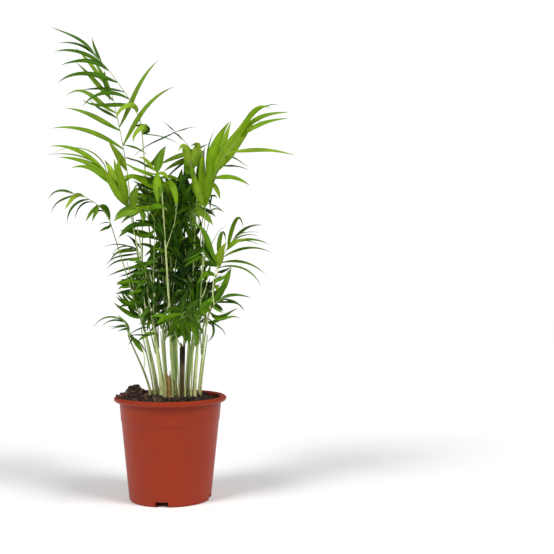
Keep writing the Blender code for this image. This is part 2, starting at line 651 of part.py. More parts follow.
def main():
    empty_scene()
    plant = new_collection("parlour_palm")
    cutters = new_collection("cutters")
    origin = bpy.data.objects.new("plant_origin", None)
    plant.objects.link(origin)
    pot = make_pot(plant, cutters)
    finish(pot, TERRACOTTA)
    seat(pot, origin, Vector())
    soil = make_soil(plant)
    finish(soil, SOIL_BROWN)
    seat(soil, pot, Vector((0, 0, FLOOR_UNDERSIDE + FLOOR_THICKNESS)))
    paths = {}
    limbs = {}
    for name, stem in STEMS.items():
        thing, paths[name] = make_stem(name, stem, plant)
        finish(thing, stem.colour)
        limbs[name] = [surface_tree(thing.data)]
        seat(thing, soil, paths[name][0])
    placed = {name: beads(path, stem_radii(STEMS[name], len(path))) for name, path in paths.items()}
    for name, frond in FRONDS.items():
        path, _ = frond_path(frond, paths)
        placed[name] = beads(path, rib_radii(len(path)))
    fronds = {**FRONDS, **ring_fronds(paths, placed)}
    ribs = {name: frond_path(frond, paths) for name, frond in fronds.items()}
    for name, (path, _) in ribs.items():
        rough = limb(name + "_rib", path, rib_radii(len(path)), 0, plant)
        limbs[name] = [surface_tree(rough.data)]
        bpy.data.objects.remove(rough, do_unlink=True)
    for name, frond in fronds.items():
        others = [tree for other, trees in limbs.items() if other != name for tree in trees]
        path, blade_index = ribs[name]
        thing, trees = make_frond(name, frond, path, blade_index, others, plant)
        finish(thing, frond.colour)
        limbs[name] += trees
        seat(thing, plant.objects[frond.stem], path[0])


main()
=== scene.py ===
"""Parlour palm in its nursery pot, finished around the fixed frame.

The script is laid out as an add-on and is run as a script. One operator makes each piece or group of like
pieces, and the panel in the sidebar lists them. Every shape is worked out with numpy as whole arrays, in
metres in the frame's own axes: +Z up along the pot's axis, -Y towards the front of the plant.
"""
import json
import math
from collections import namedtuple
from itertools import product

import bpy
import numpy as np
from mathutils import Euler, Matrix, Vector


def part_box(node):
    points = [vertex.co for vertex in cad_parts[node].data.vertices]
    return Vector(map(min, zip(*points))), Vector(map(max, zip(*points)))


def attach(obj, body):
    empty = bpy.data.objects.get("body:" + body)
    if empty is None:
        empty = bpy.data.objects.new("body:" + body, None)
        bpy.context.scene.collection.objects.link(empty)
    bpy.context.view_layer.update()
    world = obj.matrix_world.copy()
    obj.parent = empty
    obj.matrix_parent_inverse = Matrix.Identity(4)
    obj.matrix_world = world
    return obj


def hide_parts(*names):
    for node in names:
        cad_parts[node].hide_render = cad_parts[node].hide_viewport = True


bl_info = {
    "name": "Parlour palm in a nursery pot",
    "version": (1, 0, 0),
    "blender": (4, 5, 0),
    "location": "3D View > Sidebar > Palm",
    "description": "Makes the pot, the soil, the stems and the fronds of a parlour palm",
    "category": "Object",
}

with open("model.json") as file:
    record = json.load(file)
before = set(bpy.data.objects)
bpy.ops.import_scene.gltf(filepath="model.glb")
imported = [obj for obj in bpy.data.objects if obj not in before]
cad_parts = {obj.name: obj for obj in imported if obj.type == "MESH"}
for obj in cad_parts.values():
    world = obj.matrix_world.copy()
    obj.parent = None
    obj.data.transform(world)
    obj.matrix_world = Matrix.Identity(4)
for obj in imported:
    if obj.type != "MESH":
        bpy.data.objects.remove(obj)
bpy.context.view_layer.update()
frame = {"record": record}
POT_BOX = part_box("pot")
MM = 0.001

# Pot, in metres, from the frame where the frame gives it
POT_HEIGHT = POT_BOX[1].z
RIM_RADIUS = POT_BOX[1].x
RIM_DEPTH = 0.008
RIM_FILLET = 0.0012
UNDER_RIM = POT_HEIGHT - RIM_DEPTH
WALL = 0.0014
BODY_TOP_RADIUS = 0.0768
BODY_FOOT_RADIUS = 0.0616
FOOT_CORNER = 0.0030
FOOT_RING_WIDTH = 0.0050
FOOT_RING_SLOPE = 0.001
FLOOR_START = 0.004
FLOOR_UNDERSIDE = 0.0085
FLOOR_THICKNESS = 0.0016
FLOOR_TOP = FLOOR_UNDERSIDE + FLOOR_THICKNESS
BAND_HEIGHT = 0.119
BAND_SLOPE = 0.0008
BAND_STEP = 0.0006
NOTCHES = 4
NOTCH_WIDTH = 0.020
NOTCH_HEIGHT = 0.0078
FIRST_NOTCH = math.radians(-102)
NOTCH_TURNS = FIRST_NOTCH + np.arange(NOTCHES) * math.tau / NOTCHES
NOTCH_EDGE = 0.004
POT_SIDES = 288
DRAIN_RADIUS = 0.0045
DRAIN_CIRCLE = 0.040
DRILL_SIDES = 28
DRILL_PAST = 0.003

# Soil, in metres, its level in millimetres first; the last ones are the height (mm) and the cell of each
# noise, and the distances from the edge between which the noise sets in
BED_LEVEL = 154
BED = BED_LEVEL * MM
EDGE_DROP = 0.0125
BED_RADIUS = 0.047
MOUND_PLACE = (-0.057, 0.012)
MOUND_RISE = 0.0150
MOUND_SPREAD = 0.0175
SHOULDER = UNDER_RIM - 0.0020
WALL_GAP = 0.0003
SOIL_START = 0.010
BED_RINGS = 76
BED_SIDES = 260
BED_NOISE = ((1.3, 0.0075), (1.0, 0.0032), (0.5, 0.0014))
BED_EVEN = (-0.002, 0.004)

# Crumbs: the grid of a lump (sides, rings) and how far it swells, the spread of the heap, the least and the
# largest size, how often each tone comes and the tones, and the numbers on the rim, on the wall and of
# slivers, in all and on the mound
LUMP_GRID = (8, 4)
LUMP_SWELL = 0.36
HEAP_SPREAD = 0.0105
CRUMB_SIZES = (0.0006, 0.0038)
CRUMB_SHARES = (0.5, 0.32, 0.18)
CRUMB_TONES = (0.6, 1.7, 3.6)
RIM_TOP = (0.0775, 0.0832)
RIM_CRUMBS = 26
WALL_CRUMBS = 150
SLIVERS = 90
MOUND_SLIVERS = 26

# Colours that no setting changes, as linear red, green and blue
SOIL_DUST = (0.050, 0.028, 0.018)
BARK = (0.150, 0.078, 0.042)
STRAW = (0.620, 0.560, 0.260)
FLECK_BROWN = (0.130, 0.070, 0.030)
STUB_BROWN = (0.330, 0.205, 0.070)
# The middle green paints a leaflet's paler middle line, partly its own colour and partly a painted highlight
MIDDLE_GREEN = (0.36, 0.50, 0.12)
# The light green that the lightest shades of the leaflets go towards, as painted light
LIGHT_GREEN = (0.310, 0.440, 0.030)
DRY_TIP = (0.190, 0.220, 0.050)

# The view, in pixels of the 554 x 554 picture and in metres: it fits the ovals of the pot's rim and foot
PICTURE = 554.0
FOCAL = 898.0
CAMERA_PLACE = (0.0, -1.380, 0.324)
CAMERA_TURN = Euler((math.radians(90.52), 0.0, math.radians(-6.75)))
CAMERA_AXES = np.array(CAMERA_TURN.to_matrix())
# What a pixel of the picture spans at the plant's middle, in mm
PIXEL = -CAMERA_PLACE[1] / FOCAL / MM
# How far in mm a leaflet reaches along the view: the most, the least as a multiple of what is read, the
# share of what it hides, the percentile of a frond's leaflets that counts as long, the shares of that
# between which one stops counting as curled, and how far inside its node's box the tip keeps (mm)
DEEPEST = 46.0
LEAST_DEPTH = 1.5
HIDDEN_SHARE = 0.75
LONG_ONES = 80
CURLED = (0.3, 0.7)
BOX_MARGIN = 3.0
# The stage: the strength of what the camera sees behind the plant, the spread of the lamps, how far away
# they stand, and the rings and sides of the floor
BACKDROP = 1.05
LAMP_WIDTH = math.radians(26)
LAMP_DISTANCE = 3.0
FLOOR_RINGS = 24
FLOOR_SIDES = 96

# The seeds of the random draws. A cane, a shoot or a frond adds its own number
CRUMB_SEED = 11
TIP_SEED = 77
CANE_SEED = 100
SHOOT_SEED = 200
FROND_SEED = 1000

# A stem: its foot on the bed (x, y), its top (x, y, z) and its radii at both ends, in millimetres
Stem = namedtuple("Stem", "foot top foot_radius top_radius slot", defaults=("stem_green",))
STEMS = {
    "stem_left_thin": Stem((-31, -9), (-64, -16, 250), 2.6, 1.4),
    "stem_left": Stem((-21, 3), (-44, 8, 276), 4.6, 2.9, "stem_pale"),
    "stem_left_inner": Stem((-13, -10), (-29, -6, 286), 4.2, 2.7, "stem_pale"),
    "stem_centre_left": Stem((-7, 9), (-12, 11, 262), 4.4, 2.8, "stem_pale"),
    "stem_stub": Stem((-2, -13), (-5, -12, 196), 4.4, 3.2, "stem_brown"),
    "stem_front": Stem((7, -4), (-1, -4, 272), 4.6, 2.8),
    "stem_back": Stem((7, 13), (9, 15, 244), 3.8, 2.6),
    "stem_dead": Stem((17, -10), (18, -11, 240), 4.2, 3.0, "stem_brown"),
    "stem_right_inner": Stem((26, 0), (29, 0, 262), 4.6, 2.8),
    "stem_right": Stem((36, -11), (42, -14, 252), 4.2, 2.7, "stem_pale"),
    "stem_right_slim": Stem((44, 3), (55, 4, 268), 3.2, 2.0, "stem_pale"),
    "stem_back_left": Stem((-12, 25), (-30, 38, 274), 4.2, 2.7, "stem_pale"),
    "stem_back_right": Stem((26, 21), (40, 38, 282), 4.4, 2.8),
    "stem_back_far": Stem((7, 31), (4, 48, 300), 4.2, 2.7, "stem_pale"),
}
# Thin young shoots between them
SHOOTS = (
    Stem((-26, -5), (-45, -9, 262), 1.9, 1.3),
    Stem((-8, -19), (-15, -23, 256), 1.7, 1.2),
    Stem((3, -17), (-1, -22, 262), 2.0, 1.3),
    Stem((12, -17), (8, -25, 254), 1.8, 1.2),
    Stem((22, -17), (27, -26, 250), 1.7, 1.2),
    Stem((31, -15), (35, -21, 262), 2.0, 1.3),
    Stem((46, -7), (56, -12, 250), 1.6, 1.1),
    Stem((-16, 14), (-24, 18, 270), 1.9, 1.3),
    Stem((17, 17), (22, 24, 270), 1.9, 1.3),
    Stem((36, 14), (46, 20, 262), 1.7, 1.2),
)
# The straight foot of a stem, in mm: its height and the stations on it, how much steeper the stem leaves
# it than it goes on, and how deep it stands in the soil
COLLAR = 12
COLLAR_STATIONS = 14
UPRIGHT = 36
SUNK = 2.0
# The relief stands out to the radii of the frame, so the stem under it is slimmer
SLIMMER = 0.68
# The cane that stands in the shade of its neighbours; its finish is the green darkened as painted shade
SHADED_CANE = "stem_left_thin"
# The stems that carry the fronds of the rings, in turn
CARRYING_STEMS = (
    "stem_front", "stem_back_right", "stem_left_inner", "stem_right_slim", "stem_back_left", "stem_right",
    "stem_centre_left", "stem_back_far", "stem_right_inner", "stem_left", "stem_back")

# A frond: its stem, how far up the stem it leaves it (0 to 1), the start, the middle and the end of its
# blade (mm) and its kind of green. One of a ring also has its turn about its own rib (degrees) and its ring,
# and its leaflets follow the even rule. The others have their leaflets in PICTURED
Frond = namedtuple("Frond", "stem leaves start middle end tone roll ring", defaults=(0, None))
FRONDS = {
    "frond_crown_left": Frond("stem_left", 0.96, (-66, 20, 492), (-86, 30, 600), (-107, 36, 671), "green"),
    "frond_crown_arch": Frond(
        "stem_centre_left", 0.95, (-45, 12, 568), (-84, 6, 638), (-128, 2, 688), "green"),
    "frond_left_fan": Frond(
        "stem_left_inner", 0.97, (-62, -30, 440), (-77, -38, 464), (-97, -44, 494), "bright"),
    "frond_left_arch": Frond(
        "stem_left", 0.80, (-92, -15, 424), (-124, -20, 454), (-156, -20, 462), "green"),
    "frond_right_fan": Frond("stem_right", 0.96, (51, -58, 446), (70, -84, 498), (98, -108, 536), "bright"),
    "frond_right_mid": Frond(
        "stem_right_slim", 0.94, (72, -24, 352), (90, -30, 388), (106, -36, 402), "bright"),
    "frond_right_low": Frond("stem_right", 0.80, (60, -52, 290), (74, -64, 304), (88, -72, 308), "green"),
    "frond_left_low": Frond(
        "stem_left_thin", 0.94, (-68, -18, 268), (-76, -22, 276), (-84, -26, 274), "dark"),
    "frond_left_mid": Frond("stem_back_left", 0.90, (-43, 34, 352), (-46, 34, 370), (-53, 34, 382), "green"),
    "frond_front_low": Frond("stem_front", 0.90, (22, -50, 278), (20, -80, 286), (14, -104, 276), "bright"),
    "frond_centre_top": Frond(
        "stem_front", 0.99, (-13, -38, 463), (-16, -46, 479), (-20, -54, 490), "bright"),
    "frond_centre_fan": Frond(
        "stem_right_inner", 0.97, (38, -20, 440), (38, -20, 472), (30, -20, 508), "green"),
    "frond_crossing": Frond("stem_back_far", 0.97, (38, 42, 516), (30, 42, 540), (8, 42, 566), "dark"),
    "frond_left_band": Frond(
        "stem_left_inner", 0.82, (-24, -34, 418), (-36, -42, 436), (-52, -48, 434), "green"),
    "frond_right_small": Frond(
        "stem_back_right", 0.96, (50, 62, 428), (60, 64, 440), (70, 66, 442), "green"),
}

# Leaflets that follow the picture one by one, as they were read: the places of the middle line, from the
# root to the tip, across and down the 554 x 554 picture; and then four values: how much farther back the
# tip lies than the root (mm); the width (mm); how far the face turns from the sky towards the front
# (degrees); and the shade of green. Those under "heart" grow on the nearest ribs of the rings of fronds and
# on the young stalks
# The shade of green picks a darker or lighter copy of the leaf finish, partly painted shade and painted
# light
PICTURED = {
    "frond_crown_left": (
        (123.5, 149, 110, 139.5, 92, 131, 72, 127, 50, 128.5, -15, 9, 62, 3),
        (120, 130, 108, 123, 93, 115.5, 78, 109.5, 65, 108, -10, 9, 68, 3),
        (115, 113, 103, 104, 92, 96, 84, 91, 78, 90, 65, 97, 10, 9, 60, 3),
        (110, 101, 102, 90, 93, 79, 84, 69, 75, 61.5, 16, 9, 62, 3),
        (107, 89, 97, 73, 90, 63, 82, 54, 75, 47, 20, 8, 60, 3),
        (104, 72, 105, 82, 108, 92, 110, 102, -12, 7, 55, 1),
        (120, 127, 126, 113, 133, 97, 141, 81, 150, 68.5, 159.5, 59, -20, 9, 62, 3),
        (124, 145, 130, 131, 138, 117.5, 148, 104, 158, 95, 167, 90, 176, 86, -25, 9, 62, 3),
        (126, 144, 134, 146, 141, 150, 148, 155, 10, 6, 40, 2),
        (101, 60, 97, 52, 94, 45, 92.5, 37, 4, 6, 55, 1),
        (126, 157, 136, 159.5, 144, 163, 151, 168, 20, 7, 30, 0),
        (128, 171, 122, 160, 115, 150, 108, 140, -12, 12, 72, 4),
        (112, 92, 106, 80, 99, 68, 92, 58, 24, 8, 55, 2),
        (118, 118, 108, 112, 98, 107, 90, 99, 18, 7, 50, 1),
    ),
    "frond_crown_arch": (
        (129, 99, 118, 93.5, 108, 91, 99, 93, 91, 98, 82, 107, -8, 9, 55, 1),
        (118, 82, 106, 76, 93, 73.5, 79, 73, 70, 75, 57, 83.5, -6, 10, 60, 1),
        (110, 70, 101, 64, 90, 59.5, 79, 60, 69, 63, 60, 65.5, -4, 9, 60, 1),
        (104, 64, 95, 57.5, 84, 52.5, 72, 50, 62, 50, 53, 52, -8, 8, 60, 1),
        (99, 58, 91, 50, 83, 45, 75, 43, 64, 41.5, 57, 43.5, 8, 6, 56, 1),
        (97, 55, 91, 48.5, 85, 42, 76, 37, 66, 32.5, 50, 26.5, 0, 7, 50, 1),
        (131, 106, 118, 105, 104, 103.5, 95, 105, 88, 103, 81, 99, 10, 8, 64, 2),
        (124, 92, 112, 88.5, 98, 88, 89, 89, 80, 90, 14, 6, 56, 1),
        (135, 113, 137, 107, 131, 104.5, 124, 105, 120, 111, 117, 119.5, -10, 10, 70, 4),
        (135, 113, 137, 109, 133, 105.5, 128, 105, 121, 108, 6, 8, 65, 1),
        (143, 134, 148, 130, 145, 126, 139, 126, 136, 133, 134, 143, -10, 10, 72, 4),
        (143, 133, 148, 131, 146, 127, 140, 125.5, 135, 127, 6, 10, 70, 0),
        (144, 134, 155, 134.5, 166, 137, 174, 141, 181, 146, 10, 5, 25, 1),
        (151, 166, 157, 160, 161, 152, 166, 146, -10, 10, 64, 1),
    ),
    "frond_left_fan": (
        (105, 167, 97, 159, 88, 154.5, 76, 149, 64, 145.5, 53, 144.5, 48, 146.5, -5, 9, 55, 2),
        (112, 176, 97, 162, 88, 157, 76, 154.5, 62, 153, 50, 154, 44, 155, 15, 6, 32, 1),
        (112, 181, 103, 172, 93, 164, 82, 160, 70, 158, 57, 157, -10, 10, 58, 2),
        (115, 188, 108, 180, 100, 173, 91, 167.5, 82, 166, 76, 166, 70, 168.5, -18, 10, 60, 2),
        (110, 172, 104, 157, 96, 153, 86, 149.5, 74, 147, 66, 148, 56, 152, 50, 156, 26, 5, 25, 1),
        (128, 207, 121, 196, 114, 185, 107, 175, 99, 165, -8, 15, 72, 3),
        (128, 205, 126, 194, 122, 182, 119, 170, 119, 156, -16, 14, 68, 3),
        (116, 187, 113, 176, 109, 166, 104, 160, 4, 12, 72, 4),
        (124, 200, 122, 188, 119, 178, 116, 168, 114, 158, 8, 12, 66, 2),
        (128, 207, 131, 199, 133, 192, 138, 188, -20, 11, 60, 1),
        (120, 193, 122, 182, 130, 177, 140, 175, 12, 9, 50, 1),
    ),
    "frond_left_arch": (
        (75, 191, 67, 189, 60, 189.5, 54, 192, 50, 196, 48, 201, 4, 5, 50, 1),
        (85, 195, 80, 193, 75, 195, 71, 200, 67, 205, 64, 209.5, -8, 8, 70, 4),
        (89, 199, 82, 200.5, 76, 202.5, 71, 207, 68.5, 214, 67, 224, 4, 6, 50, 1),
        (76, 192, 68, 196, 62, 198.5, 56, 203, 53, 208, 51.5, 215, 14, 5, 45, 1),
        (97, 205, 94, 208, 91, 212, 88, 217, 85.5, 222, -6, 7, 60, 2),
        (98, 205, 97, 209, 95, 213, 93, 218, 92, 222, 8, 7, 60, 3),
        (99, 206, 103, 205, 107, 210, 109, 216, 110, 222, 10, 11, 62, 2),
        (112, 223, 109, 226, 105, 228, 99, 232, -8, 7, 55, 1),
        (112, 223, 106, 221.5, 102, 223, 98, 225, 12, 4, 25, 1),
        (104, 212, 97, 210, 91, 213, 87, 218, 16, 5, 40, 0),
        (93, 203, 85, 202, 79, 206, 76, 213, 75, 220, 18, 5, 40, 0),
    ),
    "frond_left_band": (
        (142, 209, 135, 210.5, 127, 212, 120, 216, 113, 222, -8, 12, 62, 3),
        (146, 214, 136, 208, 126, 209, 117, 212, 115, 219, 4, 11, 62, 2),
        (152, 226, 141, 223, 131, 225.5, 124, 230, 119, 237, -6, 10, 50, 1),
        (153, 229, 148, 236, 139, 233, 129, 231, 119, 231, 10, 10, 60, 2),
        (150, 222, 158, 224, 162, 232, 166, 241, -14, 10, 55, 0),
        (146, 213, 152, 207, 160, 206, 168, 211, -6, 11, 60, 2),
        (148, 217, 154, 222, 157, 230, 158, 240, 8, 10, 50, 1),
        (132, 209, 133, 201, 135, 194, 137, 187, -6, 13, 74, 3),
        (140, 209, 143, 213, 144, 218, 142, 223, -6, 9, 62, 2),
        (150, 213, 152, 218, 156, 223, 161, 227, 4, 9, 60, 0),
        (143, 210, 136, 212, 128, 216, 121, 224, 6, 9, 58, 1),
    ),
    "frond_right_fan": (
        (209, 183, 209, 168, 213, 150, 219, 137, 230, 121, -8, 17, 76, 2),
        (211, 180, 215, 166, 220, 150, 225, 138, 231, 121, 8, 14, 70, 3),
        (214, 175, 223, 154, 233, 140, 240, 128, 245, 118, -6, 17, 76, 3),
        (216, 171, 227, 154, 238, 141, 247, 129, 255, 120, -20, 17, 76, 3),
        (240, 135, 247, 119, 254, 109.5, 262, 105.5, 268, 105.5, 272, 109, -4, 9, 60, 2),
        (241, 133, 252, 112.5, 262, 107, 270, 104.5, 276, 103.5, 281.5, 104.5, 10, 6, 42, 1),
        (241, 133, 254, 119, 266, 114.5, 276, 112.5, 290, 112, -14, 8, 60, 2),
        (239, 136, 252, 127, 264, 122, 275, 119.5, 289.5, 118.3, 4, 8, 60, 2),
        (241, 133, 248, 121, 255, 120, 262, 122.5, 12, 7, 45, 0),
        (228, 152, 238, 150, 252, 149.5, 268, 149.5, 284, 152, 296, 156, -10, 8, 56, 3),
        (224, 157, 230, 155, 236, 158, 243, 163, 249.5, 167, 10, 6, 30, 1),
        (219, 166, 226, 165, 234, 165, 242, 167, 250, 170.5, 16, 6, 34, 1),
        (213, 178, 221, 176, 229, 176, 238, 178.5, 245, 182, 250.5, 186, -12, 9, 60, 2),
        (211, 181, 214, 184, 217, 189, 219, 194, 220, 199.5, -6, 9, 60, 3),
        (207, 196, 212, 195, 216, 196, 216.5, 200, 8, 5, 40, 0),
        (204, 206, 203, 190, 202, 172, 203, 156, 205, 146, 12, 13, 70, 3),
        (204, 206, 207, 190, 210, 172, 212, 156, -8, 13, 70, 2),
        (204, 207, 197, 190, 193, 172, 190, 158, 18, 12, 62, 2),
        (208, 190, 207, 165, 209, 143, 212, 134, 215, 129.5, 24, 6, 40, 1),
        (208, 188, 213, 172, 217, 160, 222, 148, 16, 12, 62, 1),
        (204, 206, 200, 196, 196, 184, 195, 170, -6, 11, 62, 3),
        (205, 203, 212, 204, 218, 207, 225, 213, 10, 5, 30, 1),
    ),
    "frond_right_mid": (
        (224, 245, 229, 233, 234, 220, 238, 217.5, 241, 221, 244, 231, -8, 7, 66, 1),
        (218, 257, 218, 246, 220, 235, 223, 232, 225, 236, 226, 243, 10, 8, 64, 1),
        (214, 268, 218, 258, 222, 249, 227, 242, -10, 13, 75, 4),
        (230, 240, 236, 234, 243, 229, 248, 226, 255, 225.5, 263.5, 225.3, 6, 6, 50, 0),
        (231, 239, 239, 233, 250, 231.5, 262, 232.3, 16, 4, 20, 1),
        (230, 240, 238, 236, 245, 234, 252, 234.5, 260.4, 236.5, 10, 4, 32, 1),
        (228, 242, 236, 240, 245, 238.5, 254, 239, 262, 241, 270, 245, -8, 6, 46, 1),
        (228, 242, 238, 239.5, 248, 240, 255, 243, 262, 245.6, 18, 4, 28, 1),
        (224, 249, 231, 243.5, 239, 240, 247, 239, -16, 8, 62, 3),
        (220, 256, 230, 251.5, 240, 248, 252, 247, 262, 248.5, 272.8, 253.5, -6, 6, 46, 1),
        (218, 262, 230, 260, 240, 260.5, 250, 263.5, 258, 268, 266.6, 275.5, 8, 6, 46, 1),
        (216, 267, 226, 266, 236, 265.5, 246, 269, 254, 275, 259, 282, 261.5, 289, -6, 5, 44, 1),
        (215, 272, 219, 271.5, 225, 270, 231.5, 266.5, 14, 6, 50, 0),
        (213, 284, 219, 290, 225, 284, 228, 276, 231.5, 267, -12, 11, 68, 3),
        (217, 262, 211, 252, 205, 238, 200, 224, -8, 9, 66, 1),
        (216, 266, 208, 262, 201, 263, 196, 270, 6, 10, 55, 1),
        (214, 276, 208, 272, 202, 276, 198, 284, -8, 10, 55, 1),
    ),
    "frond_right_low": (
        (215, 300, 222, 296, 232, 293.5, 241, 295, 252, 298, -6, 6, 52, 1),
        (218, 304, 225, 303.5, 231, 301, 238, 303, 242, 308, 244.5, 313.5, 8, 5, 42, 1),
        (211, 312, 219, 316.5, 228, 313, 239, 308, -4, 5, 56, 1),
        (211, 312, 220, 319, 231, 316.5, 241, 319.3, -12, 6, 52, 2),
        (214, 304, 219, 306, 224, 311, 12, 7, 50, 0),
        (209, 318, 215, 323.5, 221, 327, 224, 332, 225.5, 337.5, 6, 4, 36, 1),
        (209, 318, 214, 325, 214.5, 332, 212, 338, 206, 342.5, -8, 5, 52, 1),
        (213, 305, 206, 302, 201, 308, 199, 318, -8, 9, 62, 1),
        (211, 310, 204, 310, 198, 315, 194, 322, -14, 11, 60, 2),
        (215, 300, 220, 291, 226, 283, 229, 276, 12, 10, 58, 2),
        (222, 300, 232, 300, 239, 304, 243, 310, 16, 5, 40, 1),
        (209, 304, 214, 306, 219, 308, 224, 311, 4, 7, 56, 0),
        (209, 304, 215, 297, 221, 290, 227, 282, -4, 10, 64, 1),
    ),
    "frond_left_mid": (
        (140, 249, 131, 245.5, 122, 244, 112, 244, 102, 248, 8, 4, 32, 1),
        (140, 249, 131, 249.5, 122, 251.5, 111, 254.5, -8, 6, 58, 3),
        (138, 249, 128, 245.5, 118, 248, 113, 252, 111, 256, 16, 4, 36, 1),
        (140, 252, 130, 254, 120, 255.5, 111, 259, 105, 267, -4, 5, 42, 1),
        (142, 256, 130, 258.5, 121, 259.5, 112, 263, 106, 271, 6, 6, 42, 1),
        (136, 249, 134, 241, 130, 237, 125, 235, 12, 4, 36, 0),
        (143, 262, 130, 267.5, 120, 270.5, 112, 274, 107, 277, 4, 6, 46, 1),
        (143, 268, 133, 276, 124, 281, 117, 283, -4, 8, 58, 1),
        (126, 251, 120, 250, 114, 254, 110, 262, -10, 5, 46, 1),
        (143, 264, 136, 270, 127, 274, 118, 277, 14, 6, 50, 0),
    ),
    "frond_left_low": (
        (129, 320, 118, 316, 108, 316, 100, 319.5, 93, 328.5, -6, 4, 42, 2),
        (130, 320, 120, 319, 110, 320.5, 105, 323.5, 101, 327, 8, 4, 42, 1),
        (133, 324, 124, 324, 116, 326, 108, 326, 14, 3, 30, 1),
        (133, 324, 123, 325.5, 115, 327.5, 110, 329, -10, 4, 42, 1),
        (134, 328, 128, 328, 122, 329.5, 117, 331.5, -2, 4, 50, 1),
        (137, 333, 134, 338, 131, 342, 128, 345, -6, 4, 50, 1),
        (137, 333, 144, 334, 150, 335, 156, 332, -8, 3, 50, 0),
        (137, 332, 131, 326, 124, 320, 117, 314, 6, 5, 50, 2),
        (137, 332, 141, 328, 147, 327, 152, 329, 4, 3, 40, 0),
        (138, 333, 141, 340, 144, 348, 147, 355, 6, 3, 50, 1),
    ),
    "frond_centre_top": (
        (158, 171, 157, 174, 156.5, 188, 158, 204, -12, 13, 74, 2),
        (160, 174, 162, 180, 161, 190, 160, 199, -8, 8.8, 72, 1),
        (154, 171, 157, 162, 161, 154, 166, 146, 8, 14, 70, 1),
        (162, 186, 169, 181, 174, 187, 176, 198, 177, 210, -12, 11, 74, 2),
        (158, 173, 162, 172, 166, 175, 169, 180, -8, 7.2, 60, 3),
        (149, 169, 147, 161, 143, 157.5, 138, 158, -4, 6.4, 60, 3),
        (153, 170, 141, 162, 133, 159, 126, 157, 10, 4, 40, 0),
        (156, 175, 144, 172, 134, 168, 122, 161, 4, 6.4, 56, 2),
        (157, 179, 147, 174, 141, 171, 131, 170, 8, 4.8, 52, 1),
        (157, 183, 147, 178, 140, 176, 130, 176, 6, 5.6, 56, 1),
        (157, 191, 149, 184, 139, 178, 130, 175, 120, 179, -6, 11.2, 70, 2),
        (157, 193, 149, 188, 140, 184, 132, 180, 6, 6.4, 60, 0),
        (158, 203, 149, 197, 142, 190, 136, 181, 10, 8, 62, 0),
        (156, 208, 146, 204, 140, 199, 135, 193, 12, 7.2, 62, 0),
        (158, 200, 152, 195, 147, 191, 142, 188, 8, 7.2, 60, 0),
        (160, 206, 152, 204, 144, 204, 136, 202, 8, 7.2, 60, 1),
        (162, 206, 152, 206, 140, 208, 129, 211, 116, 219, -8, 8.8, 60, 2),
        (162, 192, 166, 196, 167, 204, 166, 214, 0, 9.6, 66, 0),
        (163, 202, 158, 208, 154, 215, 152, 223, 2, 7.2, 60, 1),
        (163, 200, 168, 205, 171, 212, 172, 221, 4, 8, 62, 0),
        (162, 192, 154, 193, 148, 199, 146, 207, 4, 7.2, 58, 0),
        (160, 178, 168, 176, 176, 178, 182, 184, 6, 7, 58, 1),
        (160, 196, 168, 194, 177, 196, 184, 202, 6, 8, 60, 0),
        (160, 200, 150, 203, 142, 201, 134, 196, 8, 8, 60, 0),
        (156, 176, 150, 179, 143, 184, 137, 191, 8, 9, 60, 0),
    ),
    "frond_centre_fan": (
        (191, 167, 188, 156, 184, 146, 180, 146, 178, 152, -8, 14, 80, 4),
        (191, 165, 195, 153, 198, 145, 194, 143, 190, 146, -12, 14, 80, 4),
        (192, 168, 197, 157, 202, 150, 205, 154, -4, 13, 74, 3),
        (193, 175, 189, 168, 187, 160, 186, 150, 6, 13, 70, 2),
        (196, 192, 199, 177, 200, 164, 198, 152, 10, 14, 70, 1),
        (197, 200, 190, 191, 186, 180, 184, 168, 8, 13, 60, 0),
        (197, 203, 189, 196, 183, 186, 181, 171, -6, 14, 68, 1),
        (197, 205, 190, 205, 183, 209, 176, 215, -8, 11, 56, 1),
        (197, 200, 190, 197, 183, 199, 177, 206, 6, 11, 56, 0),
        (197, 205, 203, 211, 209, 218, 213, 226, -10, 10, 62, 3),
        (197, 205, 205, 209, 211, 212, 216, 217, 4, 8, 46, 0),
        (197, 203, 205, 196, 211, 195, 217, 196, 10, 7, 40, 0),
        (195, 185, 202, 180, 205, 189, 205, 199, -8, 11, 62, 2),
        (194, 180, 186, 176, 181, 182, 178, 192, -10, 10, 60, 0),
        (181, 202, 179, 192, 180, 181, 182, 168, 6, 15, 72, 0),
        (172, 206, 171, 198, 168, 192, 163, 188, 8, 12, 66, 0),
        (199, 179, 193, 184, 188, 190, 183, 199, -4, 9, 58, 1),
        (202, 199, 196, 195, 190, 196, 184, 201, 2, 10, 60, 0),
        (183, 206, 192, 208, 201, 213, 211, 224, -8, 11, 62, 3),
        (186, 208, 181, 204, 184, 196, 190, 190, 8, 10, 60, 0),
        (199, 208, 204, 208, 209, 209.5, 214, 213, 6, 6, 40, 0),
        (187, 178, 186, 170, 187, 163, 190, 155, 4, 12, 72, 3),
        (196, 170, 190, 172, 184, 176, 180, 182, 4, 8, 60, 0),
        (198, 190, 204, 192, 208, 198, 211, 206, 4, 7, 60, 0),
    ),
    "frond_crossing": (
        (176, 131, 165, 136, 152, 142, 140, 150, 131, 159, -8, 7, 24, 0),
        (176, 131, 184, 128.5, 190, 127.3, 197, 127, 10, 6, 22, 1),
        (176, 131, 172, 128, 167, 124, 161, 121, 4, 5, 22, 0),
        (184, 140, 178, 134, 170, 131, 8, 6, 30, 0),
        (190, 151, 181, 154.5, 171, 158.5, 159, 165, -4, 10, 58, 3),
        (191, 151, 197, 148.5, 203, 146, 209, 143, 6, 5, 46, 1),
        (190, 149, 194, 152, 197, 157, 200, 162, -6, 9, 60, 1),
        (190, 156, 180, 161, 171, 166, 163, 172, 2, 9, 58, 3),
        (188, 158, 179, 165, 171, 173, 163, 182, 4, 5, 50, 1),
    ),
    "frond_front_low": (
        (182.3, 315.7, 178, 319, 174, 324, 170, 330, 166, 338, -28, 7, 62, 0),
        (180.7, 319, 182, 326, 184, 335, 186, 344, -28, 7, 66, 0),
        (181.7, 317, 186, 322, 189, 331, 191, 342, -28, 8, 66, 0),
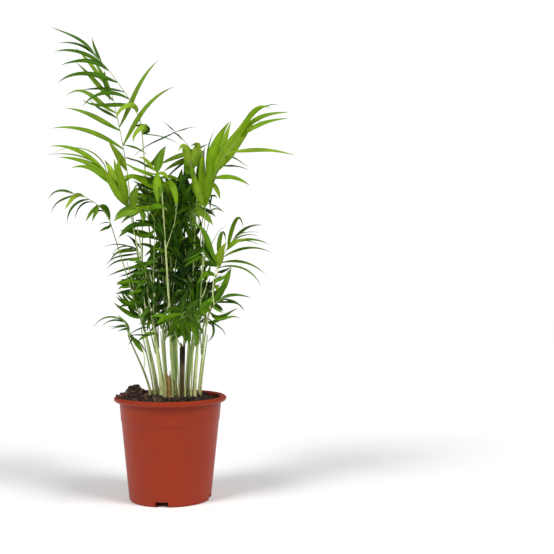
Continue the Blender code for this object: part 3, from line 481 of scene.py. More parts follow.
        (182.9, 314.5, 177, 314, 170, 315.5, 163, 319.5, 157, 325, -28, 7, 64, 1),
        (183.9, 312.5, 190, 315, 195, 322, 198, 332, 197, 342, -28, 8, 66, 0),
        (184.7, 311.5, 179, 309, 173, 308, 166, 309, -28, 7, 60, 0),
        (185.4, 312, 192, 311, 199, 313, 206, 317, -28, 8, 58, 0),
        (186.3, 313, 190, 306, 196, 301, 203, 297, 8, 8, 60, 0),
        (186.2, 315.6, 193, 320, 200, 327, 203.5, 337, 2, 6, 62, 0),
        (184.7, 317, 183, 308, 185, 300, 189, 293, 8, 6, 64, 0),
        (186.2, 315.6, 187, 325, 187, 334, 186, 344, 6, 7, 66, 0),
    ),
    "heart": (
        (160, 236, 154, 228, 149, 220, 146, 215, 6, 6.6, 60, 1),
        (160, 240, 150, 236, 138, 232, 121, 230, -4, 6.6, 55, 1),
        (144, 249, 137, 242, 132, 238, 127, 235, 4, 4.1, 40, 0),
        (170, 244, 176, 233, 183, 221, 191, 212, -6, 6.6, 60, 0),
        (199, 252, 195, 243, 190, 232, 186, 221, -8, 7.4, 66, 2),
        (217, 256, 210, 243, 204, 231, 200, 224, 192, 225, -8, 8.2, 68, 2),
        (203, 246, 198, 252, 190, 258, 183, 262, -8, 7.4, 60, 1),
        (208, 258, 200, 256, 192, 260, 184, 267, -8, 8.2, 66, 2),
        (176, 262, 173, 250, 172, 240, 174, 228, 0, 6.6, 60, 0),
        (190, 262, 186, 250, 181, 243, 176, 238, -4, 6.6, 56, 0),
        (172, 252, 179, 241, 185, 231, 187, 222, -6, 5.7, 55, 0),
        (160, 240, 155, 247, 149, 252, 144, 257, -6, 6.6, 60, 1),
        (166, 258, 158, 254, 151, 256, 146, 266, -8, 8.2, 66, 1),
        (161, 262, 150, 263, 140, 264, 129, 269, -8, 7.4, 66, 1),
        (152, 283, 140, 281, 128, 281, 117, 284, -6, 7.4, 64, 2),
        (140, 320, 131, 315, 122, 309, 113, 302, -6, 8, 62, 2),
        (140, 313, 131, 306, 123, 300, 117, 293, -4, 5.7, 60, 1),
        (134, 303, 128, 297, 123, 292, 118, 290, 0, 4.1, 40, 0),
        (140, 302, 137, 294, 138, 286, 142, 277, -4, 7.4, 66, 1),
        (151, 300, 146, 293, 142, 285, 140, 276, 0, 6.6, 60, 0),
        (154, 300, 159, 290, 158, 280, 152, 272, 0, 5.7, 60, 0),
        (171, 300, 176, 289, 178, 278, 184, 268, -4, 5.7, 58, 0),
        (178, 312, 182, 300, 188, 290, 190, 280, -4, 5.7, 58, 0),
        (192, 312, 192, 300, 192, 288, 190, 276, -6, 7.4, 66, 1),
        (199, 310, 198, 298, 198, 286, 195, 275, -6, 7.4, 66, 1),
        (204, 305, 203, 296, 201, 286, 201, 278, -4, 5.7, 60, 1),
        (184, 285, 190, 280, 196, 275, 203, 272, -4, 4.9, 50, 0),
        (168, 282, 177, 277, 187, 274, 197, 268, -4, 4.9, 50, 0),
        (208, 300, 216, 294, 224, 284, 229, 270, -6, 7.4, 64, 2),
        (214, 282, 220, 279, 226, 276, 228, 268, 0, 5.7, 60, 2),
        (210, 306, 216, 309, 224, 313, -4, 5.7, 56, 2),
        (205, 322, 215, 321, 226, 315, 237, 308, -4, 6.6, 56, 1),
        (204, 302, 196, 305, 187, 307, 178, 313, -8, 8.2, 66, 1),
        (206, 308, 200, 311, 192, 315, 186, 321, -8, 8.2, 70, 2),
        (206, 297, 203, 306, 201, 315, 196, 322, -6, 8.2, 70, 2),
        (180, 305, 172, 308, 166, 312, 160, 318, -6, 7.4, 60, 1),
        (186, 262, 180, 256, 172, 253, 165, 256, -6, 6.6, 60, 0),
        (170, 262, 176, 256, 184, 250, 190, 241, -4, 6.6, 58, 1),
        (209, 264, 204, 252, 202, 243, 203, 235, 0, 5.7, 60, 1),
        (214, 266, 210, 256, 206, 248, 203, 240, 2, 5.7, 60, 0),
        (186, 302, 190, 292, 196, 284, 198, 275, 0, 5.7, 60, 0),
        (152, 320, 150, 310, 147, 301, 142, 292, 0, 5.7, 60, 0),
        (160, 316, 155, 309, 149, 306, 142, 307, -4, 5.7, 50, 1),
        (176, 245, 180, 234, 179, 222, 175, 213, 0, 6.6, 62, 1),
        (166, 246, 160, 237, 158, 226, 160, 214, 2, 6.6, 62, 0),
        (186, 276, 181, 268, 179, 258, 181, 249, 0, 5.7, 60, 0),
        (199, 276, 203, 268, 209, 262, 213, 254, 0, 5.7, 60, 0),
        (158, 280, 164, 272, 171, 266, 176, 258, -4, 6.6, 60, 1),
        (150, 278, 143, 274, 137, 276, 131, 281, -4, 6.6, 60, 1),
        (196, 292, 189, 289, 183, 292, 178, 300, -4, 6.6, 60, 1),
        (170, 322, 163, 316, 157, 315, 150, 319, -10, 7.4, 70, 2),
        (184, 330, 190, 322, 197, 318, 204, 319, -4, 7.4, 62, 1),
        (156, 318, 151, 321, 148, 326, 148, 332, -4, 6.6, 60, 1),
        (165, 318, 161, 321, 157, 325, 152, 327, -6, 7.4, 62, 3),
        (150, 262, 146, 268, 141, 273, 134, 276, -4, 6.6, 60, 1),
        (168, 268, 162, 266, 156, 268, 150, 274, -6, 6.6, 60, 0),
        (178, 270, 184, 263, 191, 258, 199, 256, -6, 7.4, 62, 1),
        (176, 284, 170, 290, 166, 298, 164, 307, -4, 6.6, 60, 0),
        (188, 284, 192, 292, 192, 301, 189, 310, -4, 7.4, 62, 1),
        (200, 284, 205, 278, 209, 270, 210, 262, -4, 6.6, 60, 1),
        (158, 250, 151, 246, 144, 244, 136, 245, -4, 6.6, 58, 1),
        (182, 246, 188, 240, 192, 232, 194, 223, -4, 7.4, 62, 1),
        (165, 232, 170, 226, 173, 218, 174, 209, -4, 7.4, 62, 0),
        (192, 238, 197, 232, 200, 225, 199, 217, 2, 6.6, 60, 0),
        (146, 300, 139, 302, 132, 300, 125, 295, -4, 6.6, 60, 1),
        (148, 312, 142, 306, 136, 297, 133, 287, -4, 6.6, 62, 1),
        (148, 292, 140, 290, 133, 292, 126, 297, -4, 6.6, 58, 2),
        (131, 284, 126, 286, 121, 287, 118, 290, -4, 7, 60, 2),
        (133, 289, 128, 290, 124, 291, 119, 291, 0, 4, 50, 0),
        (150, 262, 141, 264, 134, 267, 129, 270, -4, 9, 66, 1),
        (142, 257, 136, 259, 131, 260, 126, 259, -4, 6, 60, 2),
        (130, 309, 125, 305, 121, 301, 116, 296, -2, 6, 56, 1),
        (128, 311, 127, 306, 124, 298, 122, 290, 0, 6, 60, 1),
        (136, 308, 135, 301, 133, 294, 131, 288, 0, 7, 64, 0),
        (139, 305, 140, 299, 139, 293, 137, 286, -2, 8, 66, 1),
        (142, 320, 136, 315, 131, 310, 127, 305, -2, 8, 62, 0),
        (135, 303, 131, 303, 126, 302, 121, 299, -2, 7, 60, 2),
        (133, 226, 128, 229, 123, 233, 118, 238, -4, 6, 56, 2),
        (143, 352, 139, 346, 135, 340, 130, 334, -4, 7, 60, 2),
        (143, 351, 138, 345, 133, 338, 129, 331, -4, 7, 64, 3),
        (146, 268, 143, 264, 139, 262, 134, 263, -6, 9, 64, 1),
        (146, 270, 142, 272, 138, 273, 133, 272, -6, 9, 64, 1),
        (145, 266, 149, 262, 153, 261, 158, 262, -6, 8, 62, 1),
        (147, 276, 143, 281, 139, 285, 136, 291, -6, 9, 64, 1),
        (148, 284, 144, 290, 142, 297, 141, 304, -6, 8, 64, 0),
        (147, 278, 151, 283, 154, 289, 155, 297, -6, 8, 62, 0),
        (148, 292, 152, 297, 155, 303, 156, 311, -6, 8, 62, 0),
        (149, 304, 146, 311, 142, 316, 137, 319, -4, 8, 62, 1),
        (150, 310, 154, 315, 157, 321, 158, 328, -4, 7, 62, 0),
        (131, 281, 127, 281, 122, 282, 116, 283, -4, 9, 66, 2),
        (206, 301, 203, 307, 201.5, 313, 199, 320, -6, 8, 66, 2),
        (190, 292, 189.5, 297, 189, 303, -4, 4, 66, 1),
        (194, 291, 193.5, 297, 193, 304, -4, 4, 66, 1),
        (198, 291, 197, 297, 196, 304, -4, 4, 66, 0),
        (146, 214, 151, 220, 156, 227, 160, 233, -4, 7, 60, 1),
        (151, 223, 144, 222, 134, 223, 127, 227, 121, 232, -6, 7, 58, 2),
        (160, 240, 151, 235, 141, 231, 131, 230, 121, 232, -6, 7, 58, 1),
        (155, 213, 159, 220, 162, 228, 164, 236, -4, 7, 62, 1),
        (166, 200, 169, 208, 170, 216, 169, 226, -4, 8, 64, 1),
        (191, 215, 184, 222, 177, 232, 171, 244, -4, 8, 62, 1),
        (187, 222, 181, 229, 175, 238, 169, 248, -4, 7, 60, 1),
        (184, 220, 187, 228, 190, 238, 194, 249, -6, 7, 62, 2),
        (160, 240, 156, 246, 152, 254, 153, 264, -6, 11, 68, 1),
        (176, 266, 169, 269, 162, 270, 154, 273, -6, 6, 60, 1),
        (200, 246, 194, 250, 188, 256, 182, 262, -6, 9, 60, 0),
        (172, 244, 178, 250, 184, 254, 190, 256, -6, 9, 60, 0),
        (171.5, 316, 167, 316, 162, 319, 156, 323.5, -8, 8, 66, 2),
        (171.5, 316.5, 167, 320, 163, 323, 160, 326.5, -6, 6, 64, 1),
        (171.5, 316, 178, 318, 184, 325, 187, 333, 189, 341, 191, 350, -14, 9, 70, 1),
        (172, 315, 182, 316, 190, 321, 195, 330, 198, 340, 196, 349, -16, 9, 68, 2),
        (173, 317, 179, 322, 184, 330, 187, 336, 188, 342, -8, 10, 74, 2),
        (173, 318, 176, 325, 172, 332, 166, 339, -4, 6, 62, 1),
        (172, 315, 180, 312, 190, 312.5, 199, 314, -10, 8, 60, 1),
        (172, 316, 180, 315, 188, 316, 198, 317, -12, 9, 62, 0),
        (172, 315, 179, 309, 187, 307, 196, 308, -8, 9, 60, 0),
        (173, 318, 177, 326, 178, 334, 177, 341, -4, 7, 66, 1),
        (160, 318, 154, 321, 148, 323, 143, 326, -4, 7, 60, 1),
        (151, 310, 147, 316, 144, 321, 142, 327, -4, 7, 62, 0),
        (158, 312, 153, 316, 150, 321, 149, 327, -4, 7, 62, 0),
        (166, 309, 161, 313, 158, 318, 157, 324, -4, 7, 62, 0),
        (164, 318, 168, 322, 169, 327, 167, 332, -4, 6, 62, 0),
        (143, 336, 148, 333, 153, 333, 158, 335, -4, 7, 60, 2),
    ),
    "frond_right_small": (
        (206, 208, 212, 207, 219, 209, 225, 213, 6, 4, 40, 1),
        (206, 211, 210, 212, 213, 214, 215, 217, 2, 5, 46, 0),
        (206, 196, 209, 195, 212, 194.5, 216, 195, 6, 4, 40, 0),
    ),
}
# Pale young stalks, the same way: their places from the foot up, how much farther back the upper end
# lies than the foot (mm) and the radius at the foot (mm)
YOUNG_STALKS = (
    (164, 311, 163, 292, 163, 272, -4, 1.1),
    (168, 250, 171, 236, 174.5, 224, 176, 208, -6, 0.9),
    (154, 330, 150, 308, 147, 286, 145, 266, -16, 1),
    (158, 308, 156, 299, 154, 288, -4, 1),
    (147, 325, 145, 310, 144, 294, -8, 1),
    (209, 301, 211, 290, 214, 277, 218, 265, -8, 1.1),
    (204, 300, 206, 290, 208, 276, -6, 0.9),
    (147, 264, 142, 246, 138, 231, 136, 220, -8, 1.2),
    (164, 305, 163, 285, 162, 262, 160, 240, -8, 1.5),
    (157, 306, 154, 290, 150, 274, -8, 1),
    (199, 312, 201, 290, 203, 268, 206, 246, -4, 1.1),
    (149, 368, 146, 358, 143, 350, 139, 340, -4, 0.9),
    (142, 318, 137, 300, 132, 281, 127, 262, -10, 1.1),
    (186, 274, 187, 268, 188.5, 261, -4, 0.9),
    (179, 350, 176, 338, 173, 326, 171.5, 316, -24, 1),
)
# The outline of the mass in the middle of the picture, past which it is open
MASS = np.array([
    (137, 176), (160, 171), (186, 170), (203, 180), (207, 196), (207, 212), (197, 222), (200, 236),
    (208, 246), (215, 258), (222, 268), (228, 284), (231, 299), (223, 315), (215, 331), (213, 343),
    (206, 351), (150, 352), (135, 344), (126, 330), (113, 310), (109, 292), (112, 278), (126, 266),
    (147, 262), (149, 246), (157, 236), (155, 226), (146, 214), (128, 208), (122, 204), (129, 192)])
# The gaps inside it that show the sky: their middles and half sizes across and down, with a leaflet's half
# width
GAPS = np.array([
    (183, 231, 3, 6), (200, 236, 3, 6), (205, 248, 3, 5), (207, 268, 3, 4), (203, 280, 4, 3),
    (175, 270, 3, 4), (157, 279, 3, 3)])

# Rings of fronds that fill the heart of the clump and its back: name, count, azimuth of the first and
# the turn to the next (degrees), the height of the blade's start at the first and the last, reach outwards
# at both, the rise from the blade's start to its end, the leaflet's length and width (mm), the rolls
# (degrees) that follow each other round the ring, the place of its first stem in CARRYING_STEMS, and how
# many fine fronds stand for each
Ring = namedtuple(
    "Ring", "name count azimuth turn low high near far rise length width rolls first_stem tone finer")
RINGS = (
    Ring("frond_heart", 9, -84, 137.5, 240, 316, 16, 38, 62, 62, 7.5, (30, -60, 80, 0, 60), 0, "dark", 2),
    Ring("frond_middle", 7, -62, 137.5, 316, 390, 18, 42, 64, 68, 7.5, (-50, 30, 80, 0), 3, "green", 2),
    Ring("frond_back", 5, 56, 17, 366, 430, 66, 40, 62, 72, 9, (0, 60, -60), 1, "green", 3),
)
# A frond of a ring: how far out and up its blade starts, has its middle and ends (shares of its reach and
# rise), how far out it is set (share of its stem's top), the step of its reach from one to the next, the
# height that counts as the stem's foot (mm), the highest share of the stem at which it leaves it, and the
# turn (degrees) and the lift (mm) between the fine fronds that stand for it
RING_BOW = ((0.35, 0.0), (0.73, 0.75), (1.0, 1.0))
RING_FOOT = 0.8
GOLDEN_STEP = 0.618
LEAVING_FROM = 194
LEAVING_TO = 0.97
FINE_TURN = 24
FINE_LIFT = 14
# The even rule for one side of its blade: the leaflets, the stations of the first and the last along the
# rib for each side, their angles to the rib (degrees), the last one's length as a share of the first's, the
# tilt of the sides to the face (radians), the sag (the share of a leaflet's length by which an even bend
# lowers its tip), and the spread of what each leaflet has of its own: angle (degrees), rise over the face,
# length, sag, sweep, twist and width
LEAVES_PER_SIDE = 11
ROW_ENDS = {1: (0.05, 1.0), -1: (0.0, 0.94)}
ROW_ANGLES = (46, 14)
LAST_LENGTH = 0.8
ROW_TILT = math.radians(-5)
RING_SAG = 0.42
Spread = namedtuple("Spread", "angle rise length sag sweep twist width")
SPREAD = Spread((-20, 20), (-0.4, 0.4), (0.86, 1.05), (0.6, 1.5), (0.02, 0.25), (-0.5, 0.5), (0.8, 1.1))
# A frond that bows to the front reaches this share of the others, and no leaflet of a ring hides the
# stalks that rise in front of the clump
FRONT_REACH = 0.45
FRONT_STALKS = ("frond_centre_top", "frond_left_arch", "frond_left_fan", "frond_right_mid")
STALK_CLEARANCE = 0.0065
# The pixels that a rib may lie farther from a leaflet's place for each metre that it lies nearer
NEARER_FIRST = 150.0
# The kinds of green, and the shades that the sprays of the rings draw from; the darker ones, which the
# heart's sprays draw most, are partly painted shade
KINDS = ("bright", "green", "dark")
SPRAY_SHADES = {"dark": (0, 1, 1, 2), "green": (1, 2, 2, 3)}
# The stalks that are pale, and the radii of stalks (mm): some by name, the others, and all at the end
PALE_STALKS = ("frond_centre_top", "frond_left_fan", "frond_right_mid")
STALK_RADII = {
    "frond_centre_top": 2.1, "frond_left_fan": 1.4, "frond_right_mid": 1.6, "frond_right_fan": 0.9,
    "frond_left_arch": 1.3, "frond_left_band": 0.8,
}
STALK_RADIUS = 1.6
TIP_RADIUS = 0.3
# How a stalk leaves its stem: its foot as a share of the stem's radius, its slope away from the stem's own
# direction, and the stations of the stem among which its foot is found
STALK_FOOT = 0.75
STALK_LEAN = 0.15
LEAVING_STATIONS = 60
# The sides of a rib, its stations among which a leaflet's root is found, and the stations of a young stalk
RIB_SIDES = 8
RIB_STATIONS = 400
YOUNG_STATIONS = 24
# In front of this the leaflets are those that the picture shows
FRONT_LIMIT = -0.045


def unit(vectors):
    """Each vector over its own length."""
    return vectors / np.maximum(np.linalg.norm(vectors, axis=-1, keepdims=True), 1e-12)


def ramp(values, low, high):
    """0 up to low, 1 from high, and 3t² - 2t³ between them."""
    t = np.clip((values - low) / (high - low), 0.0, 1.0)
    return t * t * (3.0 - 2.0 * t)


def between(first, last, share):
    """What lies a share of the way from the first to the last."""
    return first + (last - first) * share


def full_turn(count):
    """Angles spread evenly round a whole turn."""
    return np.linspace(0.0, math.tau, count, endpoint=False)


def polar(radius, angle, height=0.0):
    """Points from their distance to the axis, their angle round it and their height."""
    return np.stack(np.broadcast_arrays(radius * np.cos(angle), radius * np.sin(angle), height), axis=-1)


def lengths_along(points):
    """How far along a line each of its points lies."""
    return np.concatenate([[0], np.cumsum(np.linalg.norm(np.diff(points, axis=0), axis=1))])


def lattice_noise(points, cell, seed):
    """Smooth noise from -1 to 1: a value for each corner of a lattice of cells, blended by 3t² - 2t³."""
    scaled = points / cell + 31.7 * (seed + 1)
    corner = np.floor(scaled).astype(np.int64)
    t = scaled - corner
    t = t * t * (3.0 - 2.0 * t)
    total = np.zeros(points.shape[:-1])
    for offset in product((0, 1), repeat=3):
        place = corner + np.array(offset)
        mixed = place[..., 0] * 73856093 ^ place[..., 1] * 19349663 ^ place[..., 2] * 83492791
        mixed = (mixed ^ (mixed >> 13)) * 1274126177
        value = ((mixed ^ (mixed >> 16)) & 0xFFFFFF) / 0xFFFFFF * 2.0 - 1.0
        share = np.where(np.array(offset) == 1, t, 1.0 - t).prod(axis=-1)
        total += value * share
    return total


class Surface:
    """Points and faces gathered for one mesh, in copies of the same layout."""

    def __init__(self):
        self.points = []
        self.coordinates = []
        self.faces = {3: [], 4: []}
        self.slots = {3: [], 4: []}
        self.count = 0

    def add(self, points, quads, triangles, material=0, coordinates=None):
        """points is (copies, points, 3). The faces are one copy's, repeated with a shift for each copy.
        material is a number, one for each copy, or a pair of arrays for the quads and the triangles."""
        copies, size = points.shape[:2]
        shift = self.count + size * np.arange(copies)[:, None, None]
        numbers = material if isinstance(material, tuple) else (material, material)
        for faces, number, corners in ((quads, numbers[0], 4), (triangles, numbers[1], 3)):
            if len(faces):
                self.faces[corners].append((np.asarray(faces)[None] + shift).reshape(-1, corners))
                number = np.asarray(number)
                number = number[:, None] if number.ndim == 1 else number
                self.slots[corners].append(np.broadcast_to(number, (copies, len(faces))).ravel())
        self.points.append(points.reshape(-1, 3))
        if coordinates is not None:
            self.coordinates.append(np.broadcast_to(coordinates, (copies, size, 2)).reshape(-1, 2))
        self.count += copies * size

    def mesh(self, name, materials, sharp=None):
        """The mesh, shaded smooth up to the sharp angle in degrees, or flat where there is none."""
        quads = np.concatenate(self.faces[4]) if self.faces[4] else np.zeros((0, 4), int)
        triangles = np.concatenate(self.faces[3]) if self.faces[3] else np.zeros((0, 3), int)
        corners = np.concatenate([quads.ravel(), triangles.ravel()])
        starts = np.concatenate([np.arange(len(quads)) * 4, quads.size + np.arange(len(triangles)) * 3])
        mesh = bpy.data.meshes.new(name)
        mesh.vertices.add(self.count)
        mesh.vertices.foreach_set("co", np.concatenate(self.points).astype(np.float32).ravel())
        mesh.loops.add(len(corners))
        mesh.loops.foreach_set("vertex_index", corners.astype(np.int32))
        mesh.polygons.add(len(starts))
        mesh.polygons.foreach_set("loop_start", starts.astype(np.int32))
        numbers = np.concatenate(self.slots[4] + self.slots[3])
        mesh.polygons.foreach_set("material_index", numbers.astype(np.int32))
        if self.coordinates:
            layer = mesh.uv_layers.new(name="blade")
            places = np.concatenate(self.coordinates)[corners]
            layer.data.foreach_set("uv", places.astype(np.float32).ravel())
        mesh.update(calc_edges=True)
        if sharp is None:
            mesh.shade_flat()
        else:
            mesh.shade_smooth()
            mesh.set_sharp_from_angle(angle=math.radians(sharp))
        for material in materials:
            mesh.materials.append(material)
        return mesh

    def piece(self, name, materials, slot, replaced=(), sharp=None):
        """The finished piece, riding on the plant's one body."""
        thing = bpy.data.objects.new(name, self.mesh(name, materials, sharp))
        bpy.context.scene.collection.objects.link(thing)
        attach(thing, "root")
        if replaced:
            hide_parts(*replaced)
        return thing


def ring_faces(rings, sides, first=0):
    """Quads between neighbouring rings of points, each ring closed on itself."""
    ring, side = np.meshgrid(np.arange(rings - 1), np.arange(sides), indexing="ij")
    following = (side + 1) % sides
    quads = [ring * sides + side, ring * sides + following,
             (ring + 1) * sides + following, (ring + 1) * sides + side]
    return first + np.stack(quads, axis=-1).reshape(-1, 4)


def fan_faces(centre, first, sides, forward):
    """Triangles from a centre point to a ring, facing along the rings' order where forward is true."""
    side = np.arange(sides)
    here, following = first + side, first + (side + 1) % sides
    pair = (here, following) if forward else (following, here)
    return np.stack([np.full(sides, centre), *pair], axis=-1)


def add_closed_rings(surface, rings, start, end, material=0):
    """A closed body from rings (count, sides, 3) and the centre points of both its ends."""
    count, sides = rings.shape[:2]
    points = np.concatenate([rings.reshape(-1, 3), [start, end]])
    triangles = np.concatenate([
        fan_faces(count * sides, 0, sides, False),
        fan_faces(count * sides + 1, (count - 1) * sides, sides, True)])
    surface.add(points[None], ring_faces(count, sides), triangles, material)


def tube_rings(path, radii, sides):
    """Rings round a path: place + radius · (cos a · side + sin a · front). Side is the direction that the
    path turns about least, made square to the path, and front is square to both."""
    along = unit(np.gradient(path, axis=0))
    flattest = np.linalg.eigh(along.T @ along)[1][:, 0]
    side = unit(flattest - along * (along @ flattest)[:, None])
    front = np.cross(along, side)
    angle = full_turn(sides)[None, :, None]
    radii = np.asarray(radii, float).reshape(len(path), -1, 1)
    return path[:, None] + radii * (np.cos(angle) * side[:, None] + np.sin(angle) * front[:, None])


def add_tube(surface, path, radii, sides):
    """A closed tube round a path."""
    add_closed_rings(surface, tube_rings(path, radii, sides), path[0], path[-1])


def turned_rings(profile, angles):
    """Rings of a turned body from its outline (radius, height): (r cos a, r sin a, z)."""
    return polar(profile[:, :1], angles, profile[:, 1:])


def smooth_path(points, first, samples):
    """Cubic pieces through the points. The slope at an inner point is half the step across it, at the
    first point it is the first step's length along `first`, and at the last it is the last step."""
    points = np.asarray(points, float)
    slopes = np.empty_like(points)
    slopes[0] = unit(np.asarray(first, float)) * np.linalg.norm(points[1] - points[0])
    slopes[1:-1] = (points[2:] - points[:-2]) / 2.0
    slopes[-1] = points[-1] - points[-2]
    t = np.linspace(0.0, 1.0, samples, endpoint=False)[:, None]
    parts = []
    for a, b, slope_a, slope_b in zip(points, points[1:], slopes, slopes[1:]):
        parts.append(a * (2 * t**3 - 3 * t**2 + 1) + slope_a * (t**3 - 2 * t**2 + t)
                     + b * (3 * t**2 - 2 * t**3) + slope_b * (t**3 - t**2))
    return np.vstack(parts + [points[-1:]])


def along_path(path, shares):
    """Places and directions at shares of a path's points."""
    position = np.clip(shares, 0.0, 1.0) * (len(path) - 1)
    i = np.minimum(position.astype(int), len(path) - 2)
    t = (position - i)[:, None]
    return path[i] * (1 - t) + path[i + 1] * t, unit(path[i + 1] - path[i])


class Value:
    """A number that a shader works out. Python's operators on it add Math nodes."""

    def __init__(self, paint, socket):
        self.paint = paint
        self.socket = socket

    def math(self, operation, first, second=0.0):
        return self.paint.node("ShaderNodeMath", {"operation": operation}, {0: first, 1: second})

    def __add__(self, other):
        return self.math("ADD", self, other)

    def __sub__(self, other):
        return self.math("SUBTRACT", self, other)

    def __rsub__(self, other):
        return self.math("SUBTRACT", other, self)

    def __mul__(self, other):
        return self.math("MULTIPLY", self, other)

    def __abs__(self):
        return self.math("ABSOLUTE", self)

    def sine(self):
        return self.math("SINE", self)

    __radd__ = __add__
    __rmul__ = __mul__


class Paint:
    """A material with a Principled shader, whose tone is built up from stains."""

    def __init__(self, name, tone, **constants):
        self.material = bpy.data.materials.new(name)
        self.material.use_nodes = True
        self.tree = self.material.node_tree
        self.shader = self.tree.nodes["Principled BSDF"]
        self.tone = tone
        for socket, value in constants.items():
            self.shader.inputs[socket.replace("_", " ").title().replace("Ior", "IOR")].default_value = value

    def node(self, kind, settings=None, inputs=None, output=0):
        """A node of a kind. Its settings go first, then the values or links of its sockets."""
        made = self.tree.nodes.new(kind)
        for key, value in (settings or {}).items():
            setattr(made, key, value)
        for key, value in (inputs or {}).items():
            self.feed(made.inputs[key], value)
        return Value(self, made.outputs[output])

    def feed(self, socket, value):
        if isinstance(value, Value):
            self.tree.links.new(value.socket, socket)
        elif socket.type == "RGBA" and len(value) == 3:
            socket.default_value = (*value, 1.0)
        else:
            socket.default_value = value

    def place(self, scale=(1.0, 1.0, 1.0)):
        """The point's place on the piece, stretched by a scale for each axis."""
        where = self.node("ShaderNodeTexCoord", output="Object")
        return self.node("ShaderNodeMapping", {}, {"Vector": where, "Scale": scale})

    def axis(self, name, where=None):
        """One coordinate of a place: the point's own place, or the one that is given."""
        return self.node("ShaderNodeSeparateXYZ", {}, {"Vector": where or self.place()}, name)

    def noise(self, scale, detail=3.0, roughness=0.5, stretch=(1.0, 1.0, 1.0)):
        """Noise over the piece, at a scale and one more for each axis."""
        return self.node("ShaderNodeTexNoise", {}, {
            "Vector": self.place(stretch), "Scale": scale, "Detail": detail, "Roughness": roughness})

    def streaks(self, across, along, detail=3.0, roughness=0.5):
        """Noise that is drawn out along Z."""
        return self.noise(1.0, detail, roughness, (across, across, along))

    def step(self, value, low, high):
        """0 up to low, 1 from high, smooth between them. With low above high it falls from 1 to 0."""
        return self.node("ShaderNodeMapRange", {"interpolation_type": "SMOOTHSTEP"}, {
            "Value": value, "From Min": low, "From Max": high})

    def mix(self, factor, first, second):
        """The first colour where the factor is 0 and the second where it is 1."""
        return self.node("ShaderNodeMix", {"data_type": "RGBA"}, {0: factor, 6: first, 7: second}, 2)

    def stain(self, value, low, high, amount, colour):
        """Lays a colour over the tone by an amount, more and more as the value goes from low to high."""
        self.tone = self.mix(self.step(value, low, high) * amount, self.tone, colour)

    def finished(self, roughness, relief=None, distance=0.0, strength=1.0):
        """The material, with its roughness. A relief is of the shading alone: a height of 0 to 1 times a
        distance in metres."""
        self.feed(self.shader.inputs["Base Color"], self.tone)
        self.feed(self.shader.inputs["Roughness"], roughness)
        if relief is not None:
            normal = self.node("ShaderNodeBump", {}, {
                "Height": relief, "Distance": distance, "Strength": strength})
            self.feed(self.shader.inputs["Normal"], normal)
        return self.material


def shade(colour, factor):
    """A colour made lighter or darker by a factor."""
    return tuple(min(1.0, part * factor) for part in colour)


def blend(first, second, share):
    """The colour that lies a share of the way from the first to the second."""
    return tuple(between(a, b, share) for a, b in zip(first, second))


def colour_property(name, description, default):
    """A colour that a user can set, as linear red, green and blue."""
    return bpy.props.FloatVectorProperty(
        name=name, description=description, subtype="COLOR", size=3, min=0.0, max=1.0, default=default)


def length_property(name, description, default):
    return bpy.props.FloatProperty(
        name=name, description=description, default=default, min=0.0, unit="LENGTH", subtype="DISTANCE")


def count_property(name, description, default):
    return bpy.props.IntProperty(name=name, description=description, default=default, min=0)


class PalmPotSettings(bpy.types.PropertyGroup):
    """Sizes and colour of the pot."""

    rim_radius: length_property("Rim radius", "Outer radius of the rolled rim", RIM_RADIUS)
    height: length_property("Height", "Height of the pot over its rim", POT_HEIGHT)
    wall: length_property("Wall", "Thickness of the wall", WALL)
    plastic: colour_property("Plastic", "Colour of the moulded plastic", (0.280, 0.027, 0.006))


class PalmSoilSettings(bpy.types.PropertyGroup):
    """Crumbs and colour of the potting mix."""

    crumbs: count_property("Crumbs", "Number of crumbs on the soil", 1500)
    crumb_size: length_property("Crumb size", "Mean radius of a crumb", 0.0016)
    peat: colour_property("Peat", "Colour of the damp potting mix", (0.040, 0.023, 0.014))


class PalmStemSettings(bpy.types.PropertyGroup):
    """Relief and colours of the stems."""

    ridge: bpy.props.FloatProperty(
        name="Ridges", description="Height of the ridges as a share of the radius", default=0.022,
        min=0.0, max=0.2, subtype="FACTOR")
    pale: colour_property("Pale", "Colour of the pale stems", (0.640, 0.720, 0.300))
    green: colour_property("Green", "Colour of the green stems", (0.300, 0.440, 0.110))
    husk: colour_property("Husk", "Colour of the dry sheaths", (0.115, 0.088, 0.038))


class PalmFoliageSettings(bpy.types.PropertyGroup):
    """Fineness and colours of the fronds."""

    stations: count_property("Stations", "Sections along a leaflet", 11)
    fold: bpy.props.FloatProperty(
        name="Fold", description="Slope of a leaflet's halves at the root", default=math.radians(30),
        min=0.0, max=1.5, subtype="ANGLE")
    thickness: length_property("Thickness", "Thickness of a leaflet at its middle line", 0.00045)
    # The bright and the dark green are partly the leaflets' own and partly painted light and shade: bright
    # for the lit fronds, dark for the heart of the clump, which lies in shade
    bright: colour_property("Bright", "Colour of the youngest leaflets", (0.139, 0.275, 0.001))
    green: colour_property("Green", "Colour of the full-grown leaflets", (0.070, 0.182, 0.001))
    dark: colour_property("Dark", "Colour of the old leaflets in the heart", (0.034, 0.106, 0.001))


class PalmStageSettings(bpy.types.PropertyGroup):
    """Floor and light round the plant."""

    floor_radius: length_property("Floor radius", "Radius of the round pale floor", 7.0)
    floor: colour_property("Floor", "Colour of the floor", (0.96, 0.96, 0.96))
    daylight: bpy.props.FloatProperty(
        name="Daylight", description="Strength of the even light from all sides", default=0.22, min=0.0)
    lamp: bpy.props.FloatProperty(
        name="Lamp", description="Strength of each of the two broad soft lamps", default=2.05, min=0.0)


def body_radius(height):
    """Outer radius of the pot's tapering body."""
    return between(BODY_FOOT_RADIUS, BODY_TOP_RADIUS, height / UNDER_RIM)


def arc(radius, height, half_width, half_height, first, last, count):
    """Points (radius, height) on an oval arc, by angle in degrees from the outward direction."""
    turn = np.radians(np.linspace(first, last, count))
    return np.stack([radius + half_width * np.cos(turn), height + half_height * np.sin(turn)], axis=-1)


def straight(start, end, count):
    """Evenly spaced points from start up to, but without, end."""
    return np.linspace(start, end, count, endpoint=False)


